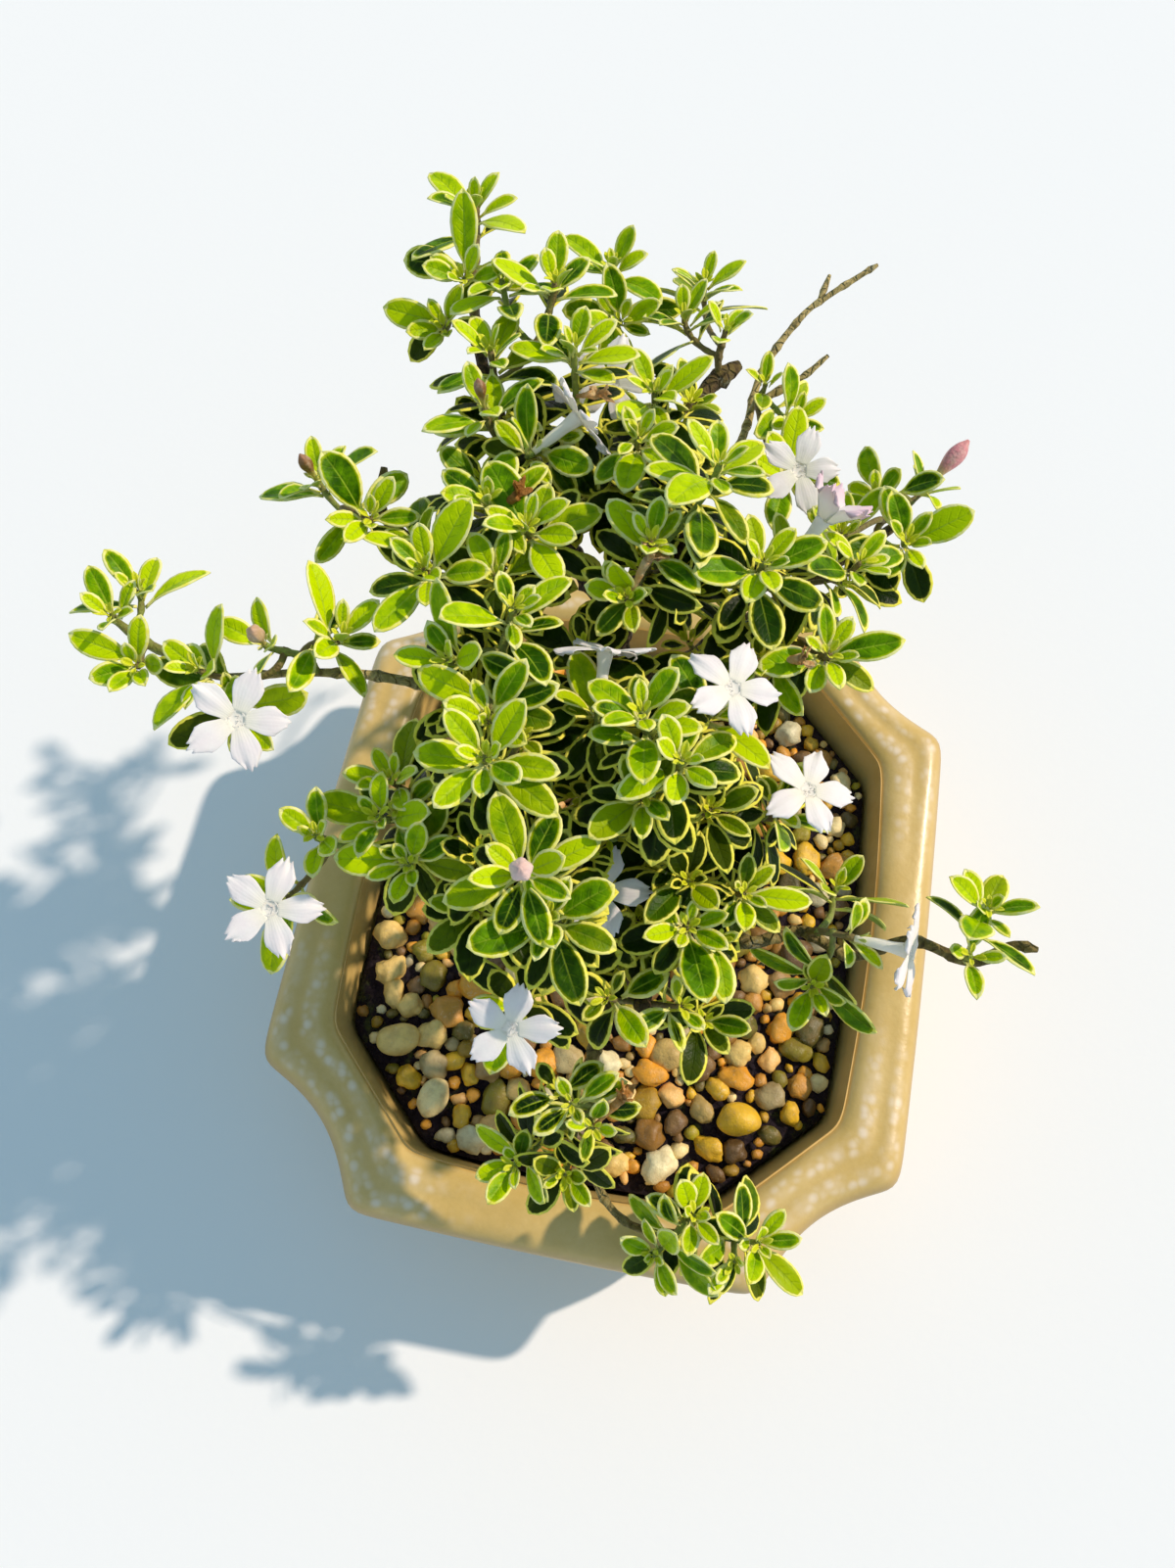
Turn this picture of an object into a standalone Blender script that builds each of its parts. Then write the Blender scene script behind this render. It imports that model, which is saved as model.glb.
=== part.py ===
"""Serissa bonsai in its glazed pot.

Every length in this file is in millimetres and is turned into metres when a mesh is made. The
pot's middle is at x = y = 0, its feet stand at z = 0, and its front looks along -Y. CENTRE moves
the whole bonsai so that the middle of its bounding box stands over the origin.
"""

import math
import random

import bmesh
import bpy
from mathutils import Matrix, Quaternion, Vector
from mathutils.bvhtree import BVHTree

MM = 0.001
CENTRE = Vector((9.6, -19.1, 0.0))
GAP = 0.3

# Pot
POT_WIDTH = 120.0
POT_DEPTH = 135.0
POT_HEIGHT = 45.0
FOOT_HEIGHT = 6.0
FOOT_LENGTH = 14.0
FOOT_THICKNESS = 7.0
FOOT_SET_IN = 0.8
CORNER_CUT = 23.0
CORNER_HOLLOW = 4.0
FOOT_CORNER_CUT = 21.5
INNER_CORNER_CUT = 19.6
SIDE_BOW = 0.6
RIM_WIDTH = 12.0
LIP_DEPTH = 4.0
LIP_SET_BACK = 0.6
INNER_BOW = 1.6
INNER_TAPER = 3.4
FLOOR_TOP = 12.0
WALL_TAPER = 9.0
HOLE_RADIUS = 6.0
HOLE_SPACING = 52.0
CORNER_STEPS = 5
SIDE_STEPS = 3

# Growing medium
SOIL_EDGE = 35.0
SOIL_CROWN = 40.0
SOIL_SHARES = (0.78, 0.45, 0.12)
SOIL_FALL = 1.5
SOIL_BOW = 0.8
SCREEN_SIDE = 17.0
SCREEN_THICKNESS = 0.8
SCREEN_CELLS = 2
SCREEN_BAR = 1.2

# Leaves, as (length, pitch above the shoot's cross plane in degrees) from the oldest pair up
LEAF_PAIRS = ((8.6, 6.0), (9.0, 20.0), (6.2, 42.0))
PAIR_BELOW_TIP = (4.6, 2.5, 0.9)
NODE_HEIGHT = 0.8
LEAF_WIDTH_SHARE = 0.5
LEAF_THICKNESS = 0.5
LEAF_SECTIONS = ((0.36, 0.86), (0.72, 0.82))
SMALL_LEAF = 7.2
SMALL_LEAF_SECTIONS = ((0.55, 0.95),)
LEAF_SIZES = (0.85, 1.12)
LEAF_CLEARANCE = 0.25
LEAF_TRIES = 16
FIRST_SPREAD = 8.0
SPREAD_STEP = 2.5
SHRINK_STEP = 0.02
FIRST_NODE = 1.2
NODE_SPACING = 1.7
STEM_RADIUS = 0.62
SIDE_STEM_SHARE = 0.9
STEM_FLAT = 0.85
STEM_TAPER = 0.25
STEM_JOINT = 0.8
TWIG_RADIUS = 0.95
STEM_STEP = 7.0
LIFT = 0.75
BRANCH_SHARES = ((), (0.45,), (0.58, 0.28), (0.68, 0.45, 0.22))
LIMB_STEP = 9.0
THICK_LIMB = 2.2
SEED = 14

# Flowers
TUBE_LENGTH = 7.5
TUBE_RADII = (0.55, 0.8, 1.5)
LOBE_LENGTH = 5.6
LOBE_WIDTH = 4.2
LOBE_THICKNESS = 0.5
LOBE_SECTIONS = ((0.45, 0.9), (0.85, 0.85), (1.0, 0.45))
LOBES = 5
SPREAD_OPEN = 0.18
HALF_OPEN = 0.6
HEADROOM = 13.0
HEADROOM_RADIUS = 5.5
THROAT_RING = 0.7
BUD_RADII = (0.5, 0.65, 1.25, 1.45, 0.95)
BUD_SIDES = 6

# Woody limbs: route, first radius, last radius
LIMBS = {
    "trunk": ([(3, 3, 31), (3, 8, 44), (-1, 16, 60), (-5, 25, 77), (-9, 34, 92)], 4.6, 2.3),
    "apex": ([(-9, 34, 92), (-18, 38, 105), (-25, 42, 117), (-31, 50, 123), (-35, 60, 124)], 1.9, 0.9),
    "back": ([(-7, 31, 88), (-10, 46, 100), (-13, 62, 107), (-16, 73, 108)], 1.4, 0.8),
    "back_right": ([(-7, 31, 88), (-4, 44, 104), (-1, 56, 112), (1, 64, 114), (5, 69, 114)], 1.7, 1.4),
    "dry": ([(-4, 44, 104), (5, 60, 97), (8, 72, 94), (9, 84, 95), (14, 95, 98), (19, 100, 100),
             (26, 106, 102)], 1.0, 0.5),
    "dry_spur": ([(9, 78, 94.5), (16, 83, 97), (20, 87, 99)], 0.7, 0.5),
    "dry_fork": ([(17, 98, 99.4), (18, 104, 100)], 0.55, 0.5),
    "right_upper": ([(-5, 26, 79), (8, 31, 90), (22, 41, 99), (31, 49, 101), (36, 54, 102)], 1.5, 0.8),
    "right": ([(-3, 21, 69), (6, 22, 92), (13, 22, 110), (19, 20, 117)], 1.5, 0.8),
    "right_low": ([(1, 12, 52), (8, 0, 70), (14, -12, 88), (21, -19, 96), (29, -15.5, 95), (37, -17.5, 94),
                   (45, -14, 96), (53, -16.5, 99), (58, -13.5, 101), (61, -14, 103)], 1.5, 0.7),
    "front": ([(2, 9, 46), (3, -8, 66), (6, -22, 84), (8, -32, 98)], 1.8, 1.5),
    "cascade": ([(5.5, -21, 83), (2, -36, 82), (3, -46, 75), (6, -55, 67), (12, -60, 62), (20, -60, 60.5),
                 (28, -58, 60)], 1.2, 0.7),
    "centre": ([(-2, 18, 64), (-3, 4, 90), (2, -4, 106), (4, -6, 116)], 1.5, 0.9),
    "crown": ([(-7, 30, 86), (-4, 28, 104), (0, 25, 120), (2, 28, 127)], 1.4, 0.8),
    "left": ([(-4, 23, 74), (-16, 12, 98), (-26, 5, 112), (-36, 3, 118), (-48, 1, 118.5), (-58, -1, 117.5),
              (-68, 2, 115)], 1.6, 0.8),
    "left_upper": ([(-14, 36, 99), (-26, 28, 113), (-35, 25, 117), (-42, 28, 119), (-43, 34, 122)], 1.2, 0.8),
    "left_low": ([(0, 12, 52), (-11, -4, 82), (-19, -12, 99), (-28, -17, 105), (-36, -18, 105)], 1.5, 0.8),
    "left_inner": ([(-16, 12, 98), (-19, 4, 110), (-20, 0, 120)], 1.2, 0.8),
    "root_front": ([(3, 3, 37), (8, -6, 36.5), (12, -15, 33)], 2.8, 1.0),
    "root_left": ([(3, 4, 37), (-6, 0, 36), (-14, -3, 32.5)], 2.6, 1.0),
    "root_right": ([(3, 4, 37), (12, 8, 36.5), (20, 10, 33)], 2.6, 1.0),
    "root_back": ([(2, 6, 37), (0, 15, 37), (-4, 23, 33)], 2.6, 1.0),
}

# Leafy shoots: the limb they grow from, the share of it where they start, and the tips they reach
SHOOTS = {
    "apex_shoot": ("apex", 1.0, [(-38, 75, 132), (-37, 63, 130), (-39, 57, 126)]),
    "apex_inner_shoot": ("apex", 0.80, [(-23, 62, 133), (-31, 62, 132)]),
    "apex_low_shoot": ("apex", 0.62, [(-29, 41, 130), (-30, 50, 131)]),
    "apex_right_shoot": ("apex", 0.50, [(-18, 51, 133), (-21, 37, 127.5)]),
    "back_shoot": ("back", 1.0, [(-18, 81, 118), (-15, 73, 115), (-14.4, 62.4, 111.6)]),
    "back_right_shoot": ("back_right", 0.92, [(2, 69, 121), (-3, 84, 114), (-5, 74, 117)]),
    "back_hidden_shoot": ("dry", 0.50, [(10, 77, 101), (16, 73, 98), (16.2, 58.2, 102.5)]),
    "back_middle_shoot": ("back_right", 0.60, [(-6, 49, 129), (-1, 53, 123), (-7, 40, 130)]),
    "back_hollow_shoot": ("back_right", 0.42, [(-11, 42, 119), (-15, 42, 112), (-2, 39, 123)]),
    "right_inner_shoot": ("right", 0.88, [(13, 23, 131), (27, 32, 121), (17, 30, 121)]),
    "right_middle_shoot": ("right", 1.0, [(24, 15, 124), (15, 14, 121)]),
    "crown_shoot": ("crown", 0.86, [(-2, 22, 133), (5, 32, 138), (-4, 16, 128), (4, 22, 122)]),
    "right_upper_shoot": ("right_upper", 0.90, [(38, 57, 107), (30, 54, 106), (34, 40, 116), (25, 43, 111)]),
    "left_upper_shoot": ("left_upper", 0.85, [(-52, 30, 122), (-42, 24, 124)]),
    "left_back_shoot": ("left_upper", 0.42, [(-31, 14, 130), (-35, 22, 123), (-28, 33, 124)]),
    "left_crown_shoot": ("left_upper", 0.28, [(-19, 23, 130), (-25, 26, 130), (-22, 16, 128)]),
    "left_inner_shoot": ("left_inner", 1.0, [(-18, 10, 131), (-25, 2, 129), (-18, -5, 128)]),
    "left_front_shoot": ("left_inner", 0.75, [(-17, -11, 131), (-14, -8, 114)]),
    "left_tip_shoot": ("left", 1.0, [(-75, 4, 120), (-73, 9, 119), (-70, -2, 118)]),
    "left_middle_shoot": ("left", 0.74, [(-51, 2, 124), (-59, -3, 123), (-41, 5, 124)]),
    "left_flower_shoot": ("left", 0.84, [(-53, -7, 119)]),
    "left_low_tip_shoot": ("left_low", 1.0, [(-41, -19, 110), (-45, -28, 104)]),
    "left_low_shoot": ("left_low", 0.84, [(-33, -15, 111), (-27, -21, 111), (-33, -9, 110)]),
    "left_under_shoot": ("left_low", 0.62, [(-17.5, -18, 112), (-17, -25, 110)]),
    "centre_shoot": ("centre", 1.0, [(7, -6, 129), (1, -1, 130), (3, -10, 125)]),
    "centre_back_shoot": ("centre", 0.72, [(-9, 12, 119), (-5.2, 2.8, 121), (10, 5, 121)]),
    "centre_right_shoot": ("centre", 0.80, [(12, -8, 119), (23, -2, 107), (-1, -12, 111)]),
    "front_right_shoot": ("right_low", 0.40, [(11, -15, 108), (19, -15, 107), (12, -21, 106)]),
    "front_shoot": ("front", 0.86, [(-6, -27, 121), (-10, -23, 125), (-9.3, -36, 101)]),
    "front_low_shoot": ("front", 0.84, [(17, -31, 93)]),
    "front_hidden_shoot": ("front", 0.50, [(-1.2, -15.8, 97.6)]),
    "right_low_shoot": ("right_low", 0.66, [(36, -17, 102), (32, -23, 93), (34, -7, 92)]),
    "right_tip_shoot": ("right_low", 0.90, [(51.5, -17, 104), (53, -10, 105)]),
    "cascade_shoot": ("cascade", 0.34, [(4, -48, 82), (-7, -55, 73), (1, -55, 73)]),
    "cascade_tip_shoot": ("cascade", 0.88, [(22, -57, 69), (17, -64, 66), (33, -59, 66)]),
}

# Flowers: the shoot and tip they stand on, the way they face, and how steeply their lobes rise
FLOWERS = {
    "flower_left": ("left_flower_shoot", 0, (0.30, -0.30, 0.90), SPREAD_OPEN),
    "flower_left_low": ("left_low_tip_shoot", 1, (0.20, -0.25, 0.95), SPREAD_OPEN),
    "flower_front": ("front_shoot", 2, (0.12, -0.42, 0.90), SPREAD_OPEN),
    "flower_front_hidden": ("front_hidden_shoot", 0, (0.05, -0.25, 0.96), SPREAD_OPEN),
    "flower_right": ("centre_right_shoot", 1, (0.15, 0.10, 0.98), SPREAD_OPEN),
    "flower_centre": ("centre_back_shoot", 2, (0.20, 0.05, 0.98), SPREAD_OPEN),
    "flower_centre_side": ("centre_back_shoot", 1, (-0.05, 0.90, 0.43), SPREAD_OPEN),
    "flower_apex_side": ("apex_right_shoot", 1, (0.67, 0.71, 0.21), HALF_OPEN),
    "flower_back": ("back_shoot", 2, (0.05, -0.40, 0.92), SPREAD_OPEN),
    "flower_back_right": ("back_hidden_shoot", 2, (0.12, -0.42, 0.90), SPREAD_OPEN),
    "flower_half_closed": ("right_inner_shoot", 2, (0.45, 0.60, 0.65), HALF_OPEN),
    "flower_right_low": ("right_low_shoot", 0, (0.90, -0.15, 0.35), HALF_OPEN),
}

# Buds: the shoot and tip they stand on, the way they point, and their length
BUDS = {
    "bud_left": ("left_middle_shoot", 0, (0.10, -0.10, 1.0), 5.2),
    "bud_front": ("front_shoot", 1, (0.10, -0.15, 1.0), 5.6),
    "bud_right_upper": ("right_upper_shoot", 0, (0.45, 0.70, 0.50), 9.0),
    "bud_left_upper": ("left_upper_shoot", 0, (-0.30, 0.10, 1.0), 4.6),
    "bud_apex": ("apex_low_shoot", 0, (-0.10, 0.20, 1.0), 4.6),
}

# Larger stones lying on the soil: place, size across, turn in degrees
STONES = {
    "stone_1": ((-36, -36), 9.0, 20.0),
    "stone_2": ((-27, -45), 8.0, 75.0),
    "stone_3": ((30, -38), 8.5, 10.0),
}

COLOURS = {
    "pot": ((0.58, 0.43, 0.22), 0.25),
    "soil": ((0.06, 0.045, 0.04), 0.95),
    "screen": ((0.05, 0.09, 0.05), 0.6),
    "wood": ((0.10, 0.07, 0.04), 0.85),
    "leaf": ((0.16, 0.42, 0.02), 0.35),
    "petal": ((0.90, 0.86, 0.88), 0.5),
    "bud": ((0.72, 0.48, 0.44), 0.5),
    "stone": ((0.70, 0.52, 0.30), 0.7),
}


# ---------------------------------------------------------------- scene helpers


def clear_scene():
    for obj in list(bpy.data.objects):
        bpy.data.objects.remove(obj, do_unlink=True)


def make_collection(name, hidden=False):
    made = bpy.data.collections.new(name)
    made.hide_render = hidden
    bpy.context.scene.collection.children.link(made)
    return made


def make_material(name):
    colour, roughness = COLOURS[name]
    made = bpy.data.materials.new(name)
    made.use_nodes = True
    shader = made.node_tree.nodes["Principled BSDF"]
    shader.inputs["Base Color"].default_value = (*colour, 1.0)
    shader.inputs["Roughness"].default_value = roughness
    shader.inputs["Metallic"].default_value = 0.0
    return made


def finish_mesh(bm, name, material, collection):
    """Turns a millimetre bmesh into a named object in metres, standing over the origin."""
    bmesh.ops.recalc_face_normals(bm, faces=bm.faces)
    bmesh.ops.translate(bm, verts=bm.verts, vec=CENTRE)
    bmesh.ops.scale(bm, verts=bm.verts, vec=(MM, MM, MM))
    mesh = bpy.data.meshes.new(name)
    bm.to_mesh(mesh)
    bm.free()
    obj = bpy.data.objects.new(name, mesh)
    mesh.materials.append(material)
    collection.objects.link(obj)
    return obj


def add_boolean(obj, cutter, operation):
    modifier = obj.modifiers.new(cutter.name, "BOOLEAN")
    modifier.object = cutter
    modifier.operation = operation
    modifier.solver = "EXACT"
    cutter.hide_render = True
    cutter.display_type = "WIRE"


# ---------------------------------------------------------------- pot


def corner_arc(along, across, cut, hollow):
    """The line that cuts off one corner, curving inwards by hollow, from the +X side to the +Y side."""
    start = Vector((along, across - cut))
    end = Vector((along - cut, across))
    inwards = Vector((-1.0, -1.0)).normalized()
    shares = [step / CORNER_STEPS for step in range(CORNER_STEPS + 1)]
    return [start.lerp(end, share) + inwards * hollow * math.sin(math.pi * share) for share in shares]


def quarter_sizes(quarter, inset):
    """Half the pot's size along and across a quarter turn, so that four turns of one corner go round it."""
    sizes = (POT_WIDTH / 2 - inset, POT_DEPTH / 2 - inset)
    return sizes[::-1] if quarter % 2 else sizes


def pot_ring(inset, height, cut, hollow, bow=SIDE_BOW):
    """The pot's outline at one height: four hollow corners joined by slightly bowed sides."""
    points = []
    for quarter in range(4):
        along, across = quarter_sizes(quarter, inset)
        ring = corner_arc(along, across, cut, hollow)
        side_end = Vector((cut - along, across))
        for step in range(1, SIDE_STEPS):
            share = step / SIDE_STEPS
            swell = Vector((0.0, bow * math.sin(math.pi * share)))
            ring.append(ring[CORNER_STEPS].lerp(side_end, share) + swell)
        turn = Matrix.Rotation(quarter * math.pi / 2, 2)
        points.extend(turn @ point for point in ring)
    return [(point.x, point.y, height) for point in points]


def loft(bm, rings):
    """Bridges closed rings of equal length, caps both ends, and returns each band's faces."""
    made = [[bm.verts.new(point) for point in ring] for ring in rings]
    count = len(made[0])
    bands = []
    for lower, upper in zip(made, made[1:]):
        pairs = [(i, (i + 1) % count) for i in range(count)]
        bands.append([bm.faces.new((lower[i], lower[j], upper[j], upper[i])) for i, j in pairs])
    bm.faces.new(reversed(made[0]))
    bm.faces.new(made[-1])
    return bands


def build_pot(collection, cutters):
    cut = CORNER_CUT
    hollow = CORNER_HOLLOW
    top = POT_HEIGHT
    profile = [
        (WALL_TAPER, FOOT_HEIGHT, FOOT_CORNER_CUT, hollow, SIDE_BOW),
        (WALL_TAPER - 4.0, FOOT_HEIGHT + 14.0, cut - 0.8, hollow, SIDE_BOW),
        (3.4, top - 9.0, cut - 0.4, hollow, SIDE_BOW),
        (0.6, top - 6.5, cut, hollow, SIDE_BOW),
        (0.0, top - 3.6, cut, hollow, SIDE_BOW),
        (1.6, top - 1.0, cut - 0.2, hollow, SIDE_BOW),
        (4.6, top, cut - 0.8, hollow * 0.8, SIDE_BOW),
        (9.4, top - 0.2, cut - 2.2, hollow * 0.3, 1.2),
        (RIM_WIDTH, top - 1.6, INNER_CORNER_CUT, 0.0, INNER_BOW),
        (RIM_WIDTH + LIP_SET_BACK, top - LIP_DEPTH, INNER_CORNER_CUT, 0.0, INNER_BOW),
        (RIM_WIDTH + INNER_TAPER, FLOOR_TOP, INNER_CORNER_CUT, 0.0, 1.0),
    ]
    material = make_material("pot")
    bm = bmesh.new()
    loft(bm, [pot_ring(*row) for row in profile])
    pot = finish_mesh(bm, "pot", material, collection)
    for quarter in range(4):
        add_boolean(pot, build_foot(quarter, material, cutters), "UNION")
    for side in (-1, 1):
        bm = bmesh.new()
        bmesh.ops.create_cone(
            bm, cap_ends=True, segments=20, radius1=HOLE_RADIUS, radius2=HOLE_RADIUS, depth=FLOOR_TOP * 2,
            matrix=Matrix.Translation((0.0, side * HOLE_SPACING / 2, FLOOR_TOP / 2)),
        )
        add_boolean(pot, finish_mesh(bm, f"drain_hole_{side + 2}", material, cutters), "DIFFERENCE")
    return pot


def build_foot(quarter, material, cutters):
    """A bracket foot that follows one cut corner and rises a little way into the pot's underside."""
    along, across = quarter_sizes(quarter, WALL_TAPER + FOOT_SET_IN)
    cut = FOOT_CORNER_CUT
    reach = cut + FOOT_LENGTH
    outline = [
        Vector((along, across - reach)),
        *corner_arc(along, across, cut, CORNER_HOLLOW),
        Vector((along - reach, across)),
        Vector((along - reach, across - FOOT_THICKNESS)),
        Vector((along - FOOT_THICKNESS, across - reach)),
    ]
    turn = Matrix.Rotation(quarter * math.pi / 2, 2)
    bm = bmesh.new()
    face = bm.faces.new([bm.verts.new((*(turn @ point), 0.0)) for point in outline])
    raised = bmesh.ops.extrude_face_region(bm, geom=[face])["geom"]
    lifted = [item for item in raised if isinstance(item, bmesh.types.BMVert)]
    bmesh.ops.translate(bm, verts=lifted, vec=(0.0, 0.0, FOOT_HEIGHT + 3.0))
    return finish_mesh(bm, f"foot_{quarter + 1}", material, cutters)


# ---------------------------------------------------------------- soil, screens and stones


def inner_wall_inset(height):
    """How far the inner wall stands in from the rim's outer edge at a height below the rim."""
    share = (height - FLOOR_TOP) / (POT_HEIGHT - LIP_DEPTH - FLOOR_TOP)
    return RIM_WIDTH + INNER_TAPER + (LIP_SET_BACK - INNER_TAPER) * share


def build_soil(collection, sockets):
    bottom = FLOOR_TOP + GAP
    edge = pot_ring(inner_wall_inset(SOIL_EDGE) + 2 * GAP, SOIL_EDGE, INNER_CORNER_CUT, 0.0, 1.0)
    rings = [pot_ring(inner_wall_inset(bottom) + 2 * GAP, bottom, INNER_CORNER_CUT, 0.0, SOIL_BOW), edge]
    for share in SOIL_SHARES:
        height = SOIL_EDGE + (SOIL_CROWN - SOIL_EDGE) * math.cos(math.pi * share / 2) ** SOIL_FALL
        rings.append([(x * share, y * share, height) for x, y, _ in edge])
    bm = bmesh.new()
    loft(bm, rings)
    soil = finish_mesh(bm, "soil", make_material("soil"), collection)
    for socket in sockets:
        add_boolean(soil, socket, "DIFFERENCE")
    return soil


def add_box(bm, low, high):
    size = Vector(high) - Vector(low)
    place = Matrix.Translation((Vector(low) + Vector(high)) / 2) @ Matrix.Diagonal((*size, 1.0))
    bmesh.ops.create_cube(bm, size=1.0, matrix=place)


def build_screen(name, y, material, collection, cutters):
    """A square plastic screen with open cells, lying on the pot's floor over a drainage hole."""
    half = SCREEN_SIDE / 2
    low = FLOOR_TOP + GAP
    high = low + SCREEN_THICKNESS
    bm = bmesh.new()
    add_box(bm, (-half, y - half, low), (half, y + half, high))
    screen = finish_mesh(bm, name, material, collection)
    pitch = (SCREEN_SIDE - SCREEN_BAR) / SCREEN_CELLS
    bm = bmesh.new()
    for column in range(SCREEN_CELLS):
        for row in range(SCREEN_CELLS):
            x0 = -half + SCREEN_BAR + column * pitch
            y0 = y - half + SCREEN_BAR + row * pitch
            add_box(bm, (x0, y0, low - 1.0), (x0 + pitch - SCREEN_BAR, y0 + pitch - SCREEN_BAR, high + 1.0))
    add_boolean(screen, finish_mesh(bm, f"{name}_cells", material, cutters), "DIFFERENCE")
    bm = bmesh.new()
    add_box(bm, (-half - GAP, y - half - GAP, low - 2.0), (half + GAP, y + half + GAP, high + GAP))
    return finish_mesh(bm, f"{name}_recess", material, cutters)


def build_stone(name, material, collection, soil_surface):
    (x, y), size, turn = STONES[name]
    draw = random.Random(name)
    bm = bmesh.new()
    bmesh.ops.create_icosphere(bm, subdivisions=2, radius=size / 2)
    flatten = Matrix.Diagonal((1.0, draw.uniform(0.7, 0.9), draw.uniform(0.6, 0.75)))
    wave = Vector((draw.uniform(0.5, 1.5), draw.uniform(0.5, 1.5), draw.uniform(0.5, 1.5)))
    for vert in bm.verts:
        swell = 1.0 + 0.1 * math.sin(vert.co.dot(wave) + draw.uniform(-0.1, 0.1))
        vert.co = Matrix.Rotation(math.radians(turn), 3, "Z") @ flatten @ (vert.co * swell)
    lift = -math.inf
    for vert in bm.verts:
        place = Vector((x + vert.co.x, y + vert.co.y, 100.0))
        hit = soil_surface.ray_cast(place, Vector((0.0, 0.0, -1.0)))[0]
        lift = max(lift, hit.z + GAP - vert.co.z)
    bmesh.ops.translate(bm, verts=bm.verts, vec=(x, y, lift))
    return finish_mesh(bm, name, material, collection)


# ---------------------------------------------------------------- growth plan


def square_to(direction, along):
    """The part of a direction that is square to another, as a unit vector."""
    left = direction - along * direction.dot(along)
    return left.normalized() if left.length > 1e-6 else along.orthogonal().normalized()


class Path:
    """A smooth route with a frame that doesn't twist along it."""

    def __init__(self, points, first_side=None):
        self.points = points
        self.distance = [0.0]
        for a, b in zip(points, points[1:]):
            self.distance.append(self.distance[-1] + (b - a).length)
        self.length = self.distance[-1]
        self.tangents = []
        for i in range(len(points)):
            before, after = points[max(i - 1, 0)], points[min(i + 1, len(points) - 1)]
            self.tangents.append((after - before).normalized())
        side = first_side or self.tangents[0].orthogonal()
        self.sides = []
        for tangent in self.tangents:
            side = square_to(side, tangent)
            self.sides.append(side)

    def at(self, distance):
        """Point, tangent and the two directions square to it, at a distance along the route."""
        distance = min(max(distance, 0.0), self.length)
        i = max(k for k in range(len(self.points) - 1) if self.distance[k] <= distance)
        share = (distance - self.distance[i]) / (self.distance[i + 1] - self.distance[i])
        tangent = self.tangents[i].lerp(self.tangents[i + 1], share).normalized()
        side = square_to(self.sides[i].lerp(self.sides[i + 1], share), tangent)
        return self.points[i].lerp(self.points[i + 1], share), tangent, side, tangent.cross(side)


def through(points, steps=6):
    """A Catmull-Rom curve through a few points."""
    given = [Vector(point) for point in points]
    padded = [2 * given[0] - given[1], *given, 2 * given[-1] - given[-2]]
    curve = [given[0]]
    for a, b, c, d in zip(padded, padded[1:], padded[2:], padded[3:]):
        slope = c - a
        second = 2 * a - 5 * b + 4 * c - d
        third = 3 * b - a - 3 * c + d
        for step in range(1, steps + 1):
            t = step / steps
            curve.append(0.5 * (2 * b + slope * t + second * t**2 + third * t**3))
    return curve


def bend(start, leave, end, arrive, steps=16):
    """A cubic curve that leaves and arrives in the given directions."""
    reach = (end - start).length * 0.4
    b = start + leave * reach
    c = end - arrive * reach
    curve = []
    for step in range(steps + 1):
        t = step / steps
        s = 1.0 - t
        curve.append(start * s**3 + b * 3 * s * s * t + c * 3 * s * t * t + end * t**3)
    return curve


class Stem:
    """A young stem. Its nodes carry leaf pairs, and its branches start at nodes of their own."""

    def __init__(self, path, radius):
        self.path = path
        self.radius = radius
        self.nodes = []
        self.branches = []
        self.ornament = False


class Leaf:
    """One leaf: where its stalk leaves the stem's axis, which way it points, and its size."""

    def __init__(self, origin, direction, normal, length):
        self.origin = origin
        self.direction = direction
        self.normal = normal
        self.length = length
        self.width = length * LEAF_WIDTH_SHARE
        self.sections = SMALL_LEAF_SECTIONS if length < SMALL_LEAF else LEAF_SECTIONS

    def section(self, along, width, thickness):
        """Four corners of the blade at a share of its length, keyed by side and face."""
        side = self.direction.cross(self.normal)
        centre = self.origin + self.direction * self.length * along
        return {
            (a, b): centre + side * (a * width / 2) + self.normal * (b * thickness / 2)
            for a in (-1, 1)
            for b in (-1, 1)
        }

    def middle(self):
        return self.origin + self.direction * self.length / 2

    def reach(self):
        return self.length * 0.6

    def slab(self, margin):
        """The blade as a BVH tree, thicker and wider by a margin all round."""
        thickness = LEAF_THICKNESS + 2 * margin
        shape = [(0.3, 0.6 * self.width), *((s, w * self.width) for s, w in self.sections), (1.0, 0.1)]
        corners = []
        for along, width in shape:
            part = self.section(along, width + 2 * margin, thickness)
            corners.extend(part[key] for key in ((-1, -1), (1, -1), (1, 1), (-1, 1)))
        return tube_tree(corners, 4)


def tube_tree(corners, sides):
    """A BVH tree of a closed tube given by its rings' corners in order."""
    rings = len(corners) // sides
    faces = [tuple(range(sides)), tuple(range((rings - 1) * sides, rings * sides))]
    for ring in range(rings - 1):
        for i in range(sides):
            j = (i + 1) % sides
            low, high = ring * sides, (ring + 1) * sides
            faces.append((low + i, low + j, high + j, high + i))
    return BVHTree.FromPolygons(corners, faces)


def round_tree(path, radii, sides=6, step=2.0):
    """A BVH tree of a round stem whose radius follows radii over its length."""
    count = max(2, int(path.length / step) + 1)
    corners = []
    for k in range(count):
        share = k / (count - 1)
        point, _, u, v = path.at(path.length * share)
        place = share * (len(radii) - 1)
        i = min(int(place), len(radii) - 2)
        radius = radii[i] + (radii[i + 1] - radii[i]) * (place - i)
        for turn in range(sides):
            angle = 2 * math.pi * turn / sides
            corners.append(point + (u * math.cos(angle) + v * math.sin(angle)) * radius)
    return tube_tree(corners, sides)


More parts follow.
